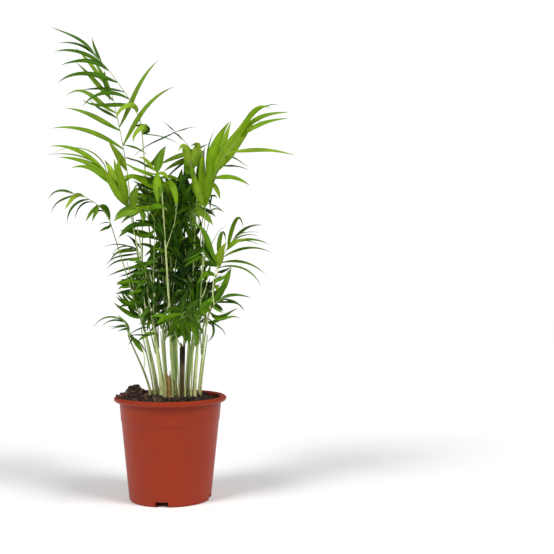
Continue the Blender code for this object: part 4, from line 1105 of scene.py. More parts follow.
def pot_profile(settings):
    """From under the floor's centre out and down inside the foot ring, up the outside with its band, over
    the rolled rim, down the inner wall and in over the floor."""
    under_rim = settings.height - RIM_DEPTH
    half_depth = 0.5 * RIM_DEPTH
    middle = settings.height - half_depth
    half_rim = 0.5 * (settings.rim_radius - BODY_TOP_RADIUS + settings.wall)
    lip = 0.5 * half_depth
    ring_outside = body_radius(0) - FOOT_CORNER
    ring_inside = ring_outside - FOOT_RING_WIDTH
    corner = (body_radius(FOOT_CORNER), FOOT_CORNER)
    floor_edge = (ring_inside - FOOT_RING_SLOPE, FLOOR_UNDERSIDE)
    band_low, band_high = BAND_HEIGHT - BAND_SLOPE, BAND_HEIGHT + BAND_SLOPE
    band_foot = (body_radius(band_low), band_low)
    band_head = (body_radius(band_high) + BAND_STEP, band_high)
    inner_foot = (body_radius(FLOOR_TOP) - settings.wall, FLOOR_TOP)
    return np.vstack([
        straight((FLOOR_START, FLOOR_UNDERSIDE), floor_edge, 9),
        straight(floor_edge, (ring_inside, 0.0), 4),
        straight((ring_inside, 0.0), (ring_outside, 0.0), 4),
        arc(ring_outside, FOOT_CORNER, corner[0] - ring_outside, FOOT_CORNER, -90, -6, 8),
        straight(corner, band_foot, 22),
        straight(band_foot, band_head, 3),
        straight(band_head, (BODY_TOP_RADIUS, under_rim - RIM_FILLET), 8),
        arc(BODY_TOP_RADIUS + RIM_FILLET, under_rim - RIM_FILLET, RIM_FILLET, RIM_FILLET, 180, 100, 4),
        arc(settings.rim_radius - half_rim, middle, half_rim, half_depth, -82, -30, 7),
        arc(settings.rim_radius - lip, middle, lip, half_depth, -24, 24, 5),
        arc(settings.rim_radius - half_rim, middle, half_rim, half_depth, 30, 168, 14),
        straight((BODY_TOP_RADIUS - settings.wall, under_rim), inner_foot, 16),
        straight(inner_foot, (0.0, FLOOR_TOP), 10),
    ])


class PALM_OT_pot(bpy.types.Operator):
    """Makes the moulded pot with its rolled rim, band, foot notches and drain holes"""

    bl_idname = "palm.pot"
    bl_label = "Pot"

    def execute(self, context):
        settings = context.scene.palm_pot
        half = 0.5 * NOTCH_WIDTH / BODY_FOOT_RADIUS
        edges = np.concatenate([NOTCH_TURNS - half, NOTCH_TURNS + half])
        angles = np.concatenate([full_turn(POT_SIDES), edges - NOTCH_EDGE, edges + NOTCH_EDGE])
        angles = np.unique(np.round(np.mod(angles, math.tau), 5))
        profile = pot_profile(settings)
        rings = turned_rings(profile, angles)
        away = np.abs((angles[:, None] - NOTCH_TURNS + math.pi) % math.tau - math.pi).min(axis=1)
        lift = NOTCH_HEIGHT * (1.0 - ramp(away, half - NOTCH_EDGE, half + NOTCH_EDGE))
        outside = np.arange(len(profile)) < np.argmax(profile[:, 1])
        rings[outside, :, 2] = np.maximum(rings[outside, :, 2], lift)
        surface = Surface()
        add_closed_rings(surface, rings, (0, 0, FLOOR_UNDERSIDE), (0, 0, FLOOR_TOP))
        pot = surface.piece("pot_shell", [pot_plastic(settings)], "pot_plastic", ["pot"], sharp=38)
        self.drill(pot)
        return {"FINISHED"}

    def drill(self, pot):
        """Cuts the drain holes through the floor and applies the cut."""
        drills = Surface()
        circle = polar(DRAIN_RADIUS, full_turn(DRILL_SIDES))
        for angle in NOTCH_TURNS:
            centre = polar(DRAIN_CIRCLE, angle)
            low = centre + (0, 0, FLOOR_UNDERSIDE - DRILL_PAST)
            high = centre + (0, 0, FLOOR_TOP + DRILL_PAST)
            add_closed_rings(drills, np.stack([low + circle, high + circle]), low, high)
        cutter = bpy.data.objects.new("drain_drills", drills.mesh("drain_drills", []))
        bpy.context.scene.collection.objects.link(cutter)
        cut = pot.modifiers.new("Drain holes", "BOOLEAN")
        cut.operation = "DIFFERENCE"
        cut.object = cutter
        view = bpy.context.evaluated_depsgraph_get()
        mesh = bpy.data.meshes.new_from_object(pot.evaluated_get(view), depsgraph=view)
        pot.modifiers.clear()
        pot.data = mesh
        bpy.data.objects.remove(cutter, do_unlink=True)


def pot_plastic(settings):
    """Satin moulded plastic: faint cloudy tone, upright draw marks, fine bloom, and soil dust at the rim."""
    base = tuple(settings.plastic)
    paint = Paint("pot_plastic_finish", shade(base, 0.965), specular_ior_level=0.2)
    cloud = paint.noise(26.0, 4.0, 0.55)
    streak = paint.streaks(260.0, 9.0, 2.0)
    paint.stain(cloud, 0.32, 0.70, 1.0, shade(base, 1.03))
    paint.stain(streak, 0.35, 0.75, 0.25, shade(base, 0.94))
    dust = paint.step(paint.noise(420.0, 3.0, 0.6), 0.60, 0.74)
    dirty = paint.step(paint.axis("Z"), POT_HEIGHT - 0.0065, POT_HEIGHT + 0.004) * dust
    paint.tone = paint.mix(dirty * 0.55, paint.tone, SOIL_DUST)
    grain = paint.noise(1900.0, 2.0)
    return paint.finished(0.34 + cloud * 0.12 + dirty * 0.3, grain * 0.4 + streak, 0.06 * MM, 0.5)


def soil_height(x, y):
    """Level bed that falls away to the wall by the square of the distance, with a bell-shaped mound."""
    outside = np.maximum(0.0, np.hypot(x, y) - BED_RADIUS) / (BODY_TOP_RADIUS - BED_RADIUS)
    from_mound = np.hypot(x - MOUND_PLACE[0], y - MOUND_PLACE[1]) / MOUND_SPREAD
    return BED - EDGE_DROP * outside**2 + MOUND_RISE * np.exp(-from_mound**2)


def soil_radius(height):
    """Radius of the soil at a height, clear of the pot's wall."""
    return body_radius(height) - WALL - WALL_GAP


class PALM_OT_soil(bpy.types.Operator):
    """Makes the bed of potting mix with its mound, roughened by three sizes of noise"""

    bl_idname = "palm.soil"
    bl_label = "Soil"

    def execute(self, context):
        settings = context.scene.palm_soil
        bottom = FLOOR_TOP + WALL_GAP
        outer = soil_radius(SHOULDER)
        under = np.array([[SOIL_START, bottom], [soil_radius(bottom), bottom], [outer, SHOULDER]])
        radii = np.linspace(outer - 0.5 * MM, 0.6 * MM, BED_RINGS)
        top = np.stack([radii, np.full(len(radii), BED)], axis=-1)
        rings = turned_rings(np.vstack([under, top]), full_turn(BED_SIDES))
        bed = rings[len(under):]
        bed[..., 2] = soil_height(bed[..., 0], bed[..., 1])
        flat = bed * (1, 1, 0)
        rough = sum(height * MM * lattice_noise(flat, cell, seed)
                    for seed, (height, cell) in enumerate(BED_NOISE, 1))
        bed[..., 2] += rough * ramp(outer - np.hypot(bed[..., 0], bed[..., 1]), *BED_EVEN)
        surface = Surface()
        add_closed_rings(surface, rings, (0, 0, bottom), (0, 0, BED))
        surface.piece("soil_bed", [potting_mix(settings, 1.0)], "potting_mix", ["soil"], sharp=50)
        return {"FINISHED"}


def potting_mix(settings, tone):
    """Damp peat: dark grains with lighter bark among them, rough all over, and painted shade that darkens it
    towards the stems, away from the mound.
    """
    base = shade(settings.peat, tone)
    paint = Paint("potting_mix_finish", shade(base, 0.35), specular_ior_level=0.3)
    coarse = paint.noise(300.0, 4.0, 0.65)
    fine = paint.noise(1100.0, 3.0, 0.6)
    paint.stain(coarse, 0.34, 0.66, 1.0, shade(base, 1.3))
    paint.stain(fine, 0.60, 0.72, 0.55, BARK)
    # Painted shade: the mix is darker on the side of the stems, away from the mound, where they and the
    # fronds stand over it
    painted_shade_near_stems = paint.step(paint.axis("X"), -0.042, -0.012) * 0.75
    paint.stain(coarse, 0.66, 0.44, painted_shade_near_stems, shade(base, 0.12))
    return paint.finished(0.78 + fine * 0.2, coarse + fine * 0.5, 0.9 * MM, 0.9)


def lumps(centres, sizes, stretch, turns, seed):
    """Rounded lumps (copies, points, 3) on a grid of rings and sides: a ball whose radius swells and sinks
    by lattice noise, stretched along its own axes and turned."""
    sides, rings = LUMP_GRID
    tilt = np.linspace(0, math.pi, rings + 2)[1:-1, None]
    ball = polar(np.sin(tilt), full_turn(sides), np.cos(tilt)).reshape(-1, 3)
    ball = np.vstack([ball, [(0, 0, 1), (0, 0, -1)]])
    copies = ball * stretch[:, None]
    bulge = 1.0 + LUMP_SWELL * lattice_noise(copies + centres[:, None] * 900.0, 0.75, seed)
    copies = copies * bulge[..., None] * sizes[:, None, None]
    points = np.einsum("nij,npj->npi", turns, copies) + centres[:, None]
    triangles = np.concatenate([fan_faces(rings * sides, 0, sides, True),
                                fan_faces(rings * sides + 1, (rings - 1) * sides, sides, False)])
    return points, ring_faces(rings, sides)[:, ::-1], triangles[:, ::-1]


def random_turns(dice, count):
    """Rotation matrices, each from a random quaternion."""
    w, x, y, z = unit(dice.normal(size=(count, 4))).T
    return np.stack([
        1 - 2 * (y * y + z * z), 2 * (x * y - z * w), 2 * (x * z + y * w),
        2 * (x * y + z * w), 1 - 2 * (x * x + z * z), 2 * (y * z - x * w),
        2 * (x * z - y * w), 2 * (y * z + x * w), 1 - 2 * (x * x + y * y)], axis=-1).reshape(-1, 3, 3)


def scattered(dice, count, reach):
    """Places spread evenly over a disc: the radius is the reach times the root of an even share."""
    radius = reach * np.sqrt(dice.uniform(0, 1, count))
    return polar(radius, dice.uniform(0, math.tau, count))[:, :2]


class PALM_OT_crumbs(bpy.types.Operator):
    """Scatters crumbs and slivers of bark over the soil, more on the mound, and a few on the rim"""

    bl_idname = "palm.crumbs"
    bl_label = "Crumbs"

    def execute(self, context):
        settings = context.scene.palm_soil
        dice = np.random.default_rng(CRUMB_SEED)
        reach = soil_radius(SHOULDER) - 1.2 * MM
        ground = scattered(dice, settings.crumbs, reach)
        heap = np.array(MOUND_PLACE) + dice.normal(0, HEAP_SPREAD, (settings.crumbs // 3, 2))
        ground = np.vstack([ground, heap[np.hypot(*heap.T) < reach]])
        sizes = np.clip(settings.crumb_size * dice.lognormal(0.0, 0.42, len(ground)), *CRUMB_SIZES)
        height = soil_height(*ground.T) + sizes * dice.uniform(0.0, 0.7, len(ground))
        centres, sizes = self.add_rim_crumbs(dice, np.column_stack([ground, height]), sizes)
        stretch = dice.uniform(0.55, 1.25, (len(centres), 3))
        surface = Surface()
        crumbs = lumps(centres, sizes, stretch, random_turns(dice, len(centres)), 5)
        surface.add(*crumbs, dice.choice(3, len(centres), p=CRUMB_SHARES))
        self.add_slivers(dice, surface, reach)
        tones = [potting_mix(settings, tone) for tone in CRUMB_TONES]
        surface.piece("soil_crumbs", tones, "potting_mix")
        return {"FINISHED"}

    def add_rim_crumbs(self, dice, centres, sizes):
        """Crumbs that lie on the rim at the left and cling to the wall inside it."""
        left = np.radians(dice.uniform(150, 215, RIM_CRUMBS))
        on_rim = dice.uniform(*RIM_TOP, RIM_CRUMBS)
        small = dice.uniform(0.7 * MM, 1.7 * MM, RIM_CRUMBS)
        turn = dice.uniform(0, math.tau, WALL_CRUMBS)
        rise = dice.uniform(0.1490, 0.1545, WALL_CRUMBS)
        tiny = dice.uniform(0.4 * MM, 1.1 * MM, WALL_CRUMBS)
        rim = polar(on_rim, left, POT_HEIGHT + 0.4 * small)
        wall = polar(BODY_TOP_RADIUS - WALL - 0.4 * MM, turn, rise)
        return np.vstack([centres, rim, wall]), np.concatenate([sizes, small, tiny])

    def add_slivers(self, dice, surface, reach):
        """Thin slivers of bark and root that lie on the soil or stick out of it, the first on the mound."""
        ground = scattered(dice, SLIVERS, reach - 4 * MM)
        ground[:MOUND_SLIVERS] = np.array(MOUND_PLACE) + dice.normal(0, 9 * MM, (MOUND_SLIVERS, 2))
        ground = ground[np.hypot(*ground.T) < reach - 3 * MM]
        lengths = dice.uniform(2.8 * MM, 7.0 * MM, len(ground))
        centres = np.column_stack([ground, soil_height(*ground.T) + 1.2 * MM])
        stretch = np.column_stack([dice.uniform(0.10, 0.22, (len(ground), 2)), np.ones(len(ground))])
        heading = np.column_stack([dice.normal(size=(len(ground), 2)), dice.normal(0.25, 0.3, len(ground))])
        along = unit(heading)
        side = unit(np.cross(along, (0.0, 0.0, 1.0)))
        turns = np.stack([side, np.cross(along, side), along], axis=-1)
        surface.add(*lumps(centres, lengths, stretch, turns, 9), dice.choice(3, len(centres)))


def stem_path(stem, samples):
    """Straight up from a flat cut on the bed, then bending to the stem's top, in metres."""
    foot = np.array([stem.foot[0] * MM, stem.foot[1] * MM, BED])
    top = np.array(stem.top) * MM
    collar = np.array([0, 0, COLLAR * MM])
    bend = smooth_path([foot + collar, top], top - foot + (0, 0, UPRIGHT * MM), samples)
    base = np.linspace(foot - (0, 0, SUNK * MM), foot + collar, COLLAR_STATIONS, endpoint=False)
    return np.vstack([base, bend])


def stem_radius(stem, share):
    """The radius of a stem, which tapers evenly from its foot to its top, in metres."""
    return between(stem.foot_radius, stem.top_radius, share) * MM


def add_stem(surface, stem, ridge, dice, sides=40, samples=110):
    """A stem. The radius tapers evenly, flares at the foot, swells at each leaf scar and steps in above the
    slanted mouth of each sheath, and fine ridges run along it: r · (1 + flare + scars + steps + ridge ·
    sin(n a))."""
    path = stem_path(stem, samples)
    gone = lengths_along(path)
    share = (gone / gone[-1])[:, None]
    angle = full_turn(sides)[None]
    relief = 0.16 * np.exp(-(share * 9.0) ** 2) + 0 * angle
    for scar in np.sort(dice.uniform(0.05, 0.5, 3)):
        relief += 0.05 * np.exp(-((share - scar - 0.004 * np.cos(angle)) / 0.010) ** 2)
    for mouth in np.sort(dice.uniform(0.40, 0.92, 2)):
        slant = mouth + 0.035 * np.cos(angle - dice.uniform(0, math.tau))
        relief += 0.10 * (1.0 - ramp(share, slant - 0.004, slant + 0.006))
    relief -= 0.10
    wander = dice.uniform(0, math.tau) + 1.2 * share
    ribbing = np.sin(11 * angle + wander) + 0.6 * np.sin(17 * angle - 2 * wander)
    relief += ridge * ribbing * ramp(share, 0, 0.1)
    closing = np.maximum(np.sqrt(np.clip((1.0 - share) / 0.035, 0.0, 1.0)), 0.04)
    add_tube(surface, path, stem_radius(stem, share) * SLIMMER * (1.0 + relief) * closing, sides)


class PALM_OT_stems(bpy.types.Operator):
    """Makes the living stems, one piece each, with scars, sheath mouths and fine ridges"""

    bl_idname = "palm.stems"
    bl_label = "Stems"

    def execute(self, context):
        settings = context.scene.palm_stems
        pale, green = tuple(settings.pale), tuple(settings.green)
        finishes = {
            "stem_pale": stem_finish("stem_pale_finish", pale, green),
            "stem_green": stem_finish("stem_green_finish", green, pale),
        }
        # Painted shade: a darker copy of the green finish for the cane in the shade of its neighbours
        shaded = stem_finish("stem_shaded_finish", shade(green, 0.45), green)
        for number, (name, stem) in enumerate(STEMS.items()):
            if stem.slot not in finishes:
                continue
            surface = Surface()
            add_stem(surface, stem, settings.ridge, np.random.default_rng(CANE_SEED + number))
            finish = shaded if name == SHADED_CANE else finishes[stem.slot]
            surface.piece(name.replace("stem", "cane"), [finish], stem.slot, [name], sharp=60)
        surface = Surface()
        for number, shoot in enumerate(SHOOTS):
            dice = np.random.default_rng(SHOOT_SEED + number)
            add_stem(surface, shoot, settings.ridge, dice, sides=16, samples=60)
        surface.piece("shoots", [finishes["stem_green"]], "stem_green", sharp=60)
        return {"FINISHED"}


def stem_finish(name, main, other):
    """Waxy cane: stripes that run along it, paler at the foot, with brown flecks near the soil. The darker
    stripes and long dark bands are partly its own streaks and partly painted shade between the canes.
    """
    paint = Paint(name, main, specular_ior_level=0.45)
    stripe = paint.streaks(620.0, 14.0)
    patch = paint.streaks(120.0, 40.0)
    height = paint.axis("Z")
    paint.stain(stripe, 0.45, 0.66, 0.5, blend(main, other, 0.6))
    # Darker stripes and long dark bands: partly the cane's own streaks, partly painted shade at its edges
    # and between the canes
    paint.stain(stripe, 0.50, 0.32, 0.7, shade(other, 0.45))
    paint.stain(paint.streaks(240.0, 5.0, 2.0), 0.54, 0.66, 0.4, shade(blend(main, other, 0.7), 0.5))
    paint.stain(patch, 0.52, 0.72, 0.35, shade(main, 0.72))
    paint.stain(height, BED + 0.050, BED + 0.002, 0.45, STRAW)
    fleck = paint.step(paint.streaks(520.0, 150.0, 3.0, 0.7), 0.52, 0.62)
    paint.stain(height, BED + 0.060, BED - 0.004, fleck * 0.85, FLECK_BROWN)
    return paint.finished(0.42 + patch * 0.18, stripe, 0.35 * MM, 0.6)


class PALM_OT_husks(bpy.types.Operator):
    """Makes the brown stub and the dead sheath, with torn tops and fibres along them"""

    bl_idname = "palm.husks"
    bl_label = "Husks"

    def execute(self, context):
        settings = context.scene.palm_stems
        brown = husk_finish("husk_stub_finish", STUB_BROWN, BED + 0.030, BED + 0.046, 1.1)
        black = husk_finish("husk_dead_finish", tuple(settings.husk), BED + 0.040, BED + 0.062, 0.16)
        for name, finish, tear in (("stem_stub", brown, 0.016), ("stem_dead", black, 0.012)):
            surface = Surface()
            self.add_husk(surface, STEMS[name], tear)
            surface.piece(name.replace("stem", "husk"), [finish], "stem_brown", [name], sharp=50)
        return {"FINISHED"}

    def add_husk(self, surface, stem, tear):
        """A tube whose outer wall ends at a ragged height round it and turns down inside, so the top is an
        open torn sheath. Each column of points ends at its own share of the path."""
        sides, samples = 44, 70
        path = stem_path(stem, samples)
        angle = full_turn(sides)
        around = polar(1.0, angle)
        ragged = 0.5 + 0.5 * lattice_noise(around * 2.6, 1.0, 3)
        ragged += 0.35 * lattice_noise(around * 9.0, 1.0, 4)
        torn = tear / np.linalg.norm(path[-1] - path[0])
        reach = np.clip(1.0 - torn + torn * np.clip(ragged, 0.0, 1.0), 0.0, 1.0)
        share = np.linspace(0.0, 1.0, samples)[:, None] * reach
        ridges = 0.05 * np.sin(13 * angle) + 0.05 * lattice_noise(polar(6.0, angle, share * 14), 1.0, 6)
        swell = 0.86 + 0.45 * share + 0.14 * np.exp(-(share * 9.0) ** 2) + ridges
        radius = (stem_radius(stem, share) * swell)[..., None]
        outer = self.at(path, share) + radius * around
        depth = np.linspace(0.0, 1.0, 8)[1:, None]
        inner = self.at(path, np.clip(reach - depth * 1.6 * torn, 0.0, 1.0)) + 0.72 * radius[-1] * around
        add_closed_rings(surface, np.concatenate([outer, inner]), path[0], inner[-1].mean(axis=0))

    def at(self, path, share):
        """Places on the path at an array of shares of its points."""
        return along_path(path, share.ravel())[0].reshape(*share.shape, 3)


def husk_finish(name, base, low, high, top_tone):
    """Dry fibres: streaks of straw and brown, turning to the tone of the torn top between two heights."""
    paint = Paint(name, shade(base, 0.55), specular_ior_level=0.25)
    fibre = paint.streaks(1300.0, 30.0, 3.0, 0.6)
    paint.stain(fibre, 0.36, 0.66, 1.0, shade(base, 1.9))
    paint.stain(paint.streaks(260.0, 70.0), 0.48, 0.68, 0.5, shade(base, 0.4))
    paint.stain(paint.axis("Z"), low, high, 1.0, shade(base, top_tone))
    return paint.finished(0.72 + fibre * 0.2, fibre, 0.5 * MM, 0.9)


def frond_path(frond, samples=16):
    """The stalk rises out of its stem's sheath and the rib runs on through the blade, both in metres.
    Returns the whole path, and the number of the point where the blade starts."""
    stem = STEMS[frond.stem]
    path = stem_path(stem, LEAVING_STATIONS)[COLLAR_STATIONS:]
    place, direction = (values[0] for values in along_path(path, np.array([frond.leaves])))
    start, middle, end = (np.array(point) * MM for point in (frond.start, frond.middle, frond.end))
    outward = unit((start - place) - direction * ((start - place) @ direction))
    foot = place + outward * stem_radius(stem, frond.leaves) * STALK_FOOT
    stalk = smooth_path([foot, start], direction + outward * STALK_LEAN, samples * 2)
    blade = smooth_path([start, middle, end], middle - foot, samples)
    return np.vstack([stalk[:-1], blade]), len(stalk) - 1


def blade_frames(directions, roll):
    """Sides and upper faces along a rib: the face is up made square to the rib, turned by roll."""
    level = np.hypot(directions[:, 0], directions[:, 1])[:, None]
    away = directions * (1, 1, 0) / np.maximum(level, 1e-9)
    face = np.array([0.0, 0.0, 1.0]) * level - away * directions[:, 2:]
    side = unit(np.cross(directions, face))
    cos, sin = math.cos(roll), math.sin(roll)
    return side * cos + np.cross(directions, side) * sin, face * cos + np.cross(directions, face) * sin


# Leaflets as arrays: their middle lines (copies, stations, 3), the upward face at each station, their
# widths and their shades of green
Leaflets = namedtuple("Leaflets", "line face width shade")


def grown_row(frond, side, blade, dice, s):
    """One side of a frond by the even rule: leaflets at even stations of the rib, whose angle to the rib and
    length go evenly from the first to the last, each with a small change of its own. A leaflet's direction
    turns from its heading towards the ground by 2 · sag · s, easing off before it hangs straight down, and
    sideways towards the rib's end by sweep · s."""
    count = LEAVES_PER_SIDE
    share = np.arange(count) / (count - 1)
    root, direction = along_path(blade, between(*ROW_ENDS[side], share))
    across, face = blade_frames(direction, math.radians(frond.roll))
    outward = across * side * math.cos(ROW_TILT) - face * math.sin(ROW_TILT)
    upper = face * math.cos(ROW_TILT) + across * side * math.sin(ROW_TILT)
    angle = np.radians(between(*ROW_ANGLES, share) + dice.uniform(*SPREAD.angle, count))[:, None]
    heading = unit(direction * np.cos(angle) + outward * np.sin(angle)
                   + upper * dice.uniform(*SPREAD.rise, (count, 1)))
    first = frond.ring.length
    length = between(first, first * LAST_LENGTH, share) * MM * dice.uniform(*SPREAD.length, count)
    sag = RING_SAG * dice.uniform(*SPREAD.sag, (count, 1))
    steep = np.arccos(np.clip(-heading[:, 2:], -1.0, 1.0))
    bend = (steep * (1.0 - np.exp(-2.0 * sag * s / np.maximum(steep, 0.05))))[..., None]
    drop = unit(np.array([0.0, 0.0, -1.0]) + heading * heading[:, 2:])
    tangent = heading[:, None] * np.cos(bend) + drop[:, None] * np.sin(bend)
    sweep = np.tan(-side * dice.uniform(*SPREAD.sweep, (count, 1)) * s)[..., None]
    tangent = unit(tangent + np.cross(upper, heading)[:, None] * sweep)
    steps = 0.5 * (tangent[:, 1:] + tangent[:, :-1]) * np.diff(s)[None, :, None]
    line = np.concatenate([np.zeros((count, 1, 3)), np.cumsum(steps, axis=1)], axis=1)
    side_way = unit(np.cross(upper, heading))[:, None]
    side_way = unit(side_way - tangent * (side_way * tangent).sum(-1, keepdims=True))
    twist = (dice.uniform(*SPREAD.twist, (count, 1)) * s)[..., None]
    face = np.cross(tangent, side_way) * np.cos(twist) - side_way * np.sin(twist)
    shade_number = np.full(count, int(dice.choice(SPRAY_SHADES[frond.tone])))
    width = frond.ring.width * MM * dice.uniform(*SPREAD.width, count)
    return Leaflets(root[:, None] + line * length[:, None, None], face, width, shade_number)


def inside(places, outline):
    """True for places inside an outline, which crosses what lies right of each an odd number of times."""
    across, down = places[..., 0, None], places[..., 1, None]
    start, end = outline, np.roll(outline, -1, axis=0)
    passed = (start[:, 1] > down) != (end[:, 1] > down)
    slope = (end[:, 0] - start[:, 0]) / (end[:, 1] - start[:, 1])
    return (passed & (across < start[:, 0] + slope * (down - start[:, 1]))).sum(axis=-1) % 2 == 1


def open_to_leaves(places):
    """True for the leaflets whose places all lie inside the mass and outside its gaps, which are ovals."""
    offsets = (places[..., None, :] - GAPS[:, :2]) / GAPS[:, 2:]
    return (inside(places, MASS) & ((offsets**2).sum(axis=-1) > 1.0).all(axis=-1)).all(axis=-1)


def clear_of_stalks(line, stalks):
    """True for the leaflets of which no point lies in front of a stalk, within the clearance to its side."""
    clear = np.ones(len(line), bool)
    for stalk in stalks:
        x, y = (np.interp(line[..., 2], stalk[:, 2], stalk[:, axis], left=1.0, right=1.0) for axis in (0, 1))
        hidden = (np.abs(line[..., 0] - x) < STALK_CLEARANCE) & (line[..., 1] < y)
        clear &= ~hidden.any(axis=1)
    return clear


def in_picture(points):
    """Places of points in the picture: from its middle, the focal length times the offset from the camera
    along its right and down axes over the offset along its view."""
    right, up, back = np.moveaxis((points - CAMERA_PLACE) @ CAMERA_AXES, -1, 0)
    return 0.5 * PICTURE + FOCAL * np.stack([-right / back, up / back], axis=-1)


def on_sight(across, down, y):
    """Points on the lines of sight through places of the picture, where they reach y."""
    ray = np.stack([across - 0.5 * PICTURE, 0.5 * PICTURE - down, np.full(len(across), -FOCAL)], axis=-1)
    ray = ray @ CAMERA_AXES.T
    return CAMERA_PLACE + ray * ((y - CAMERA_PLACE[1]) / ray[:, 1])[:, None]


def nearest_rib(seen, place, ribs, nearness=0.0):
    """The number of the rib point that is seen nearest to a place, with a start for those in front."""
    return np.argmin(np.linalg.norm(seen - place, axis=1) + nearness * ribs[:, 1])


def pictured_lines(routes, depths, ribs, nearness, s):
    """Curves that follow the picture (copies, stations, 3). Each starts where the ribs pass nearest to its
    first place, with a start for those in front. It is the cubic curve through that point and the points a
    third, two thirds and the whole way along its line in the picture, whose y goes evenly from the first.
    Those places are moved by what lies between the root and the first place, times (1 - share) cubed."""
    seen = in_picture(ribs)
    places = np.empty((len(routes), 4, 3))
    share = np.array([1 / 3, 2 / 3, 1.0])
    for i, (route, back) in enumerate(zip(routes, depths)):
        nearest = nearest_rib(seen, route[0], ribs, nearness)
        root = ribs[nearest]
        gone = lengths_along(route)
        across, down = (np.interp(share * gone[-1], gone, column) + offset * (1.0 - share) ** 3
                        for column, offset in zip(route.T, seen[nearest] - route[0]))
        places[i] = [root, *on_sight(across, down, root[1] + back * MM * share)]
    s = s[None, :, None]
    third, two, one = s - 1 / 3, s - 2 / 3, s - 1
    root, near, far, tip = np.moveaxis(places[:, :, None], 1, 0)
    return (root * (-4.5 * third * two * one) + near * (13.5 * s * two * one)
            + far * (-13.5 * s * third * one) + tip * (4.5 * s * third * two))


def routes_of(rows, values):
    """The places that each row starts with, two numbers each, before its last values."""
    return [np.reshape(row[:-values], (-1, 2)) for row in rows]


def hidden_depths(rows, ribs, box):
    """How far in mm each leaflet's tip lies behind its root, or before it where below zero. One that looks
    shorter than the frond's long ones hides the rest of its length L along the view, so the depth is a
    share of the root of (L² - seen²), less for the curled ones that look shortest. It is never less than a
    multiple of the depth in its row, whose sign tells the side, and the tip keeps inside the node's box."""
    given = np.array([row[-4] for row in rows], float)
    routes = routes_of(rows, 4)
    places = in_picture(ribs)
    roots = np.array([ribs[nearest_rib(places, route[0], ribs), 1] for route in routes]) / MM
    seen = PIXEL * np.array([lengths_along(route)[-1] for route in routes])
    whole = np.percentile(seen, LONG_ONES)
    hidden = HIDDEN_SHARE * np.sqrt(np.clip(whole**2 - seen**2, 0.0, None)) * ramp(seen / whole, *CURLED)
    depth = np.minimum(DEEPEST, np.maximum(LEAST_DEPTH * np.abs(given), hidden)) * np.where(given < 0, -1, 1)
    front, back = box[0].y / MM + BOX_MARGIN, box[1].y / MM - BOX_MARGIN
    return np.clip(depth, front - roots, back - roots)


def pictured_leaves(rows, depths, ribs, nearness, s):
    """Leaflets that follow the picture. The face is sky · cos facing + front · sin facing, where front is -Y
    and sky is the other direction square to the middle line, the one that points up at the root."""
    line = pictured_lines(routes_of(rows, 4), depths, ribs, nearness, s)
    width, facing, shade_number = np.array([row[-3:] for row in rows], float).T
    tangent = unit(np.gradient(line, axis=1))
    front = np.array([0.0, -1.0, 0.0])
    front = unit(front - tangent * (tangent @ front)[..., None])
    sky = np.cross(tangent, front)
    sky = sky * np.where(sky[:, :4, 2:].mean(axis=1, keepdims=True) < 0, -1.0, 1.0)
    facing = np.radians(facing)[:, None, None]
    face = sky * np.cos(facing) + front * np.sin(facing)
    return Leaflets(line, face, width * MM, shade_number.astype(int))


def young_stalks(paths):
    """The young stalks (copies, stations, 3), each rooted on a stem or on the lower part of a stalk."""
    carriers = np.vstack([stem_path(stem, 200) for stem in STEMS.values()]
                         + [along_path(path, np.linspace(0.0, 0.6, 200))[0] for path in paths])
    depths = [row[-2] for row in YOUNG_STALKS]
    return pictured_lines(
        routes_of(YOUNG_STALKS, 2), depths, carriers, NEARER_FIRST, np.linspace(0.0, 1.0, YOUNG_STATIONS))


def ring_frond(ring, i, azimuth, lift, stem):
    """A frond of a ring that bows outwards from its stem at an azimuth."""
    outward = polar(1.0, azimuth)
    height = between(ring.low, ring.high, (i + 0.5) / ring.count) + lift
    reach = between(ring.near, ring.far, (i * GOLDEN_STEP) % 1.0)
    reach *= 1.0 - (1.0 - FRONT_REACH) * max(0.0, -outward[1])
    top = STEMS[stem].top
    foot = np.array([RING_FOOT * top[0], RING_FOOT * top[1], height])
    places = [foot + outward * reach * out + (0, 0, ring.rise * up) for out, up in RING_BOW]
    leaves = min(LEAVING_TO, (height - LEAVING_FROM) / (top[2] - BED_LEVEL))
    return Frond(stem, leaves, *places, ring.tone, ring.rolls[i % len(ring.rolls)], ring)


def all_fronds():
    """Every frond by name: the named ones, and the fine fronds that stand for each frond of a ring, swung
    to both sides of it and set a little higher and lower, each on a stem of its own."""
    fronds = dict(FRONDS)
    for ring in RINGS:
        for i, k in product(range(ring.count), range(ring.finer)):
            swing = k - (ring.finer - 1) / 2
            stem = CARRYING_STEMS[(ring.first_stem + i + 3 * k) % len(CARRYING_STEMS)]
            azimuth = math.radians(ring.azimuth + i * ring.turn + FINE_TURN * swing)
            fronds[f"{ring.name}_{i}_{k}"] = ring_frond(ring, i, azimuth, FINE_LIFT * swing, stem)
    return fronds

# Across a leaflet: places from -1 at one edge to 1 at the other, over the top and back underneath, and
# which of them lie below
ACROSS = np.array([-1.0, -0.5, 0.0, 0.5, 1.0, 0.5, 0.0, -0.5])
BELOW = np.array([0.5, 0.0, 0.0, 0.0, 0.5, 1.0, 1.0, 1.0])


def frond_paths():
    """Every frond by name, each with its path and the number of the point where its blade starts."""
    return {name: (frond, *frond_path(frond)) for name, frond in all_fronds().items()}


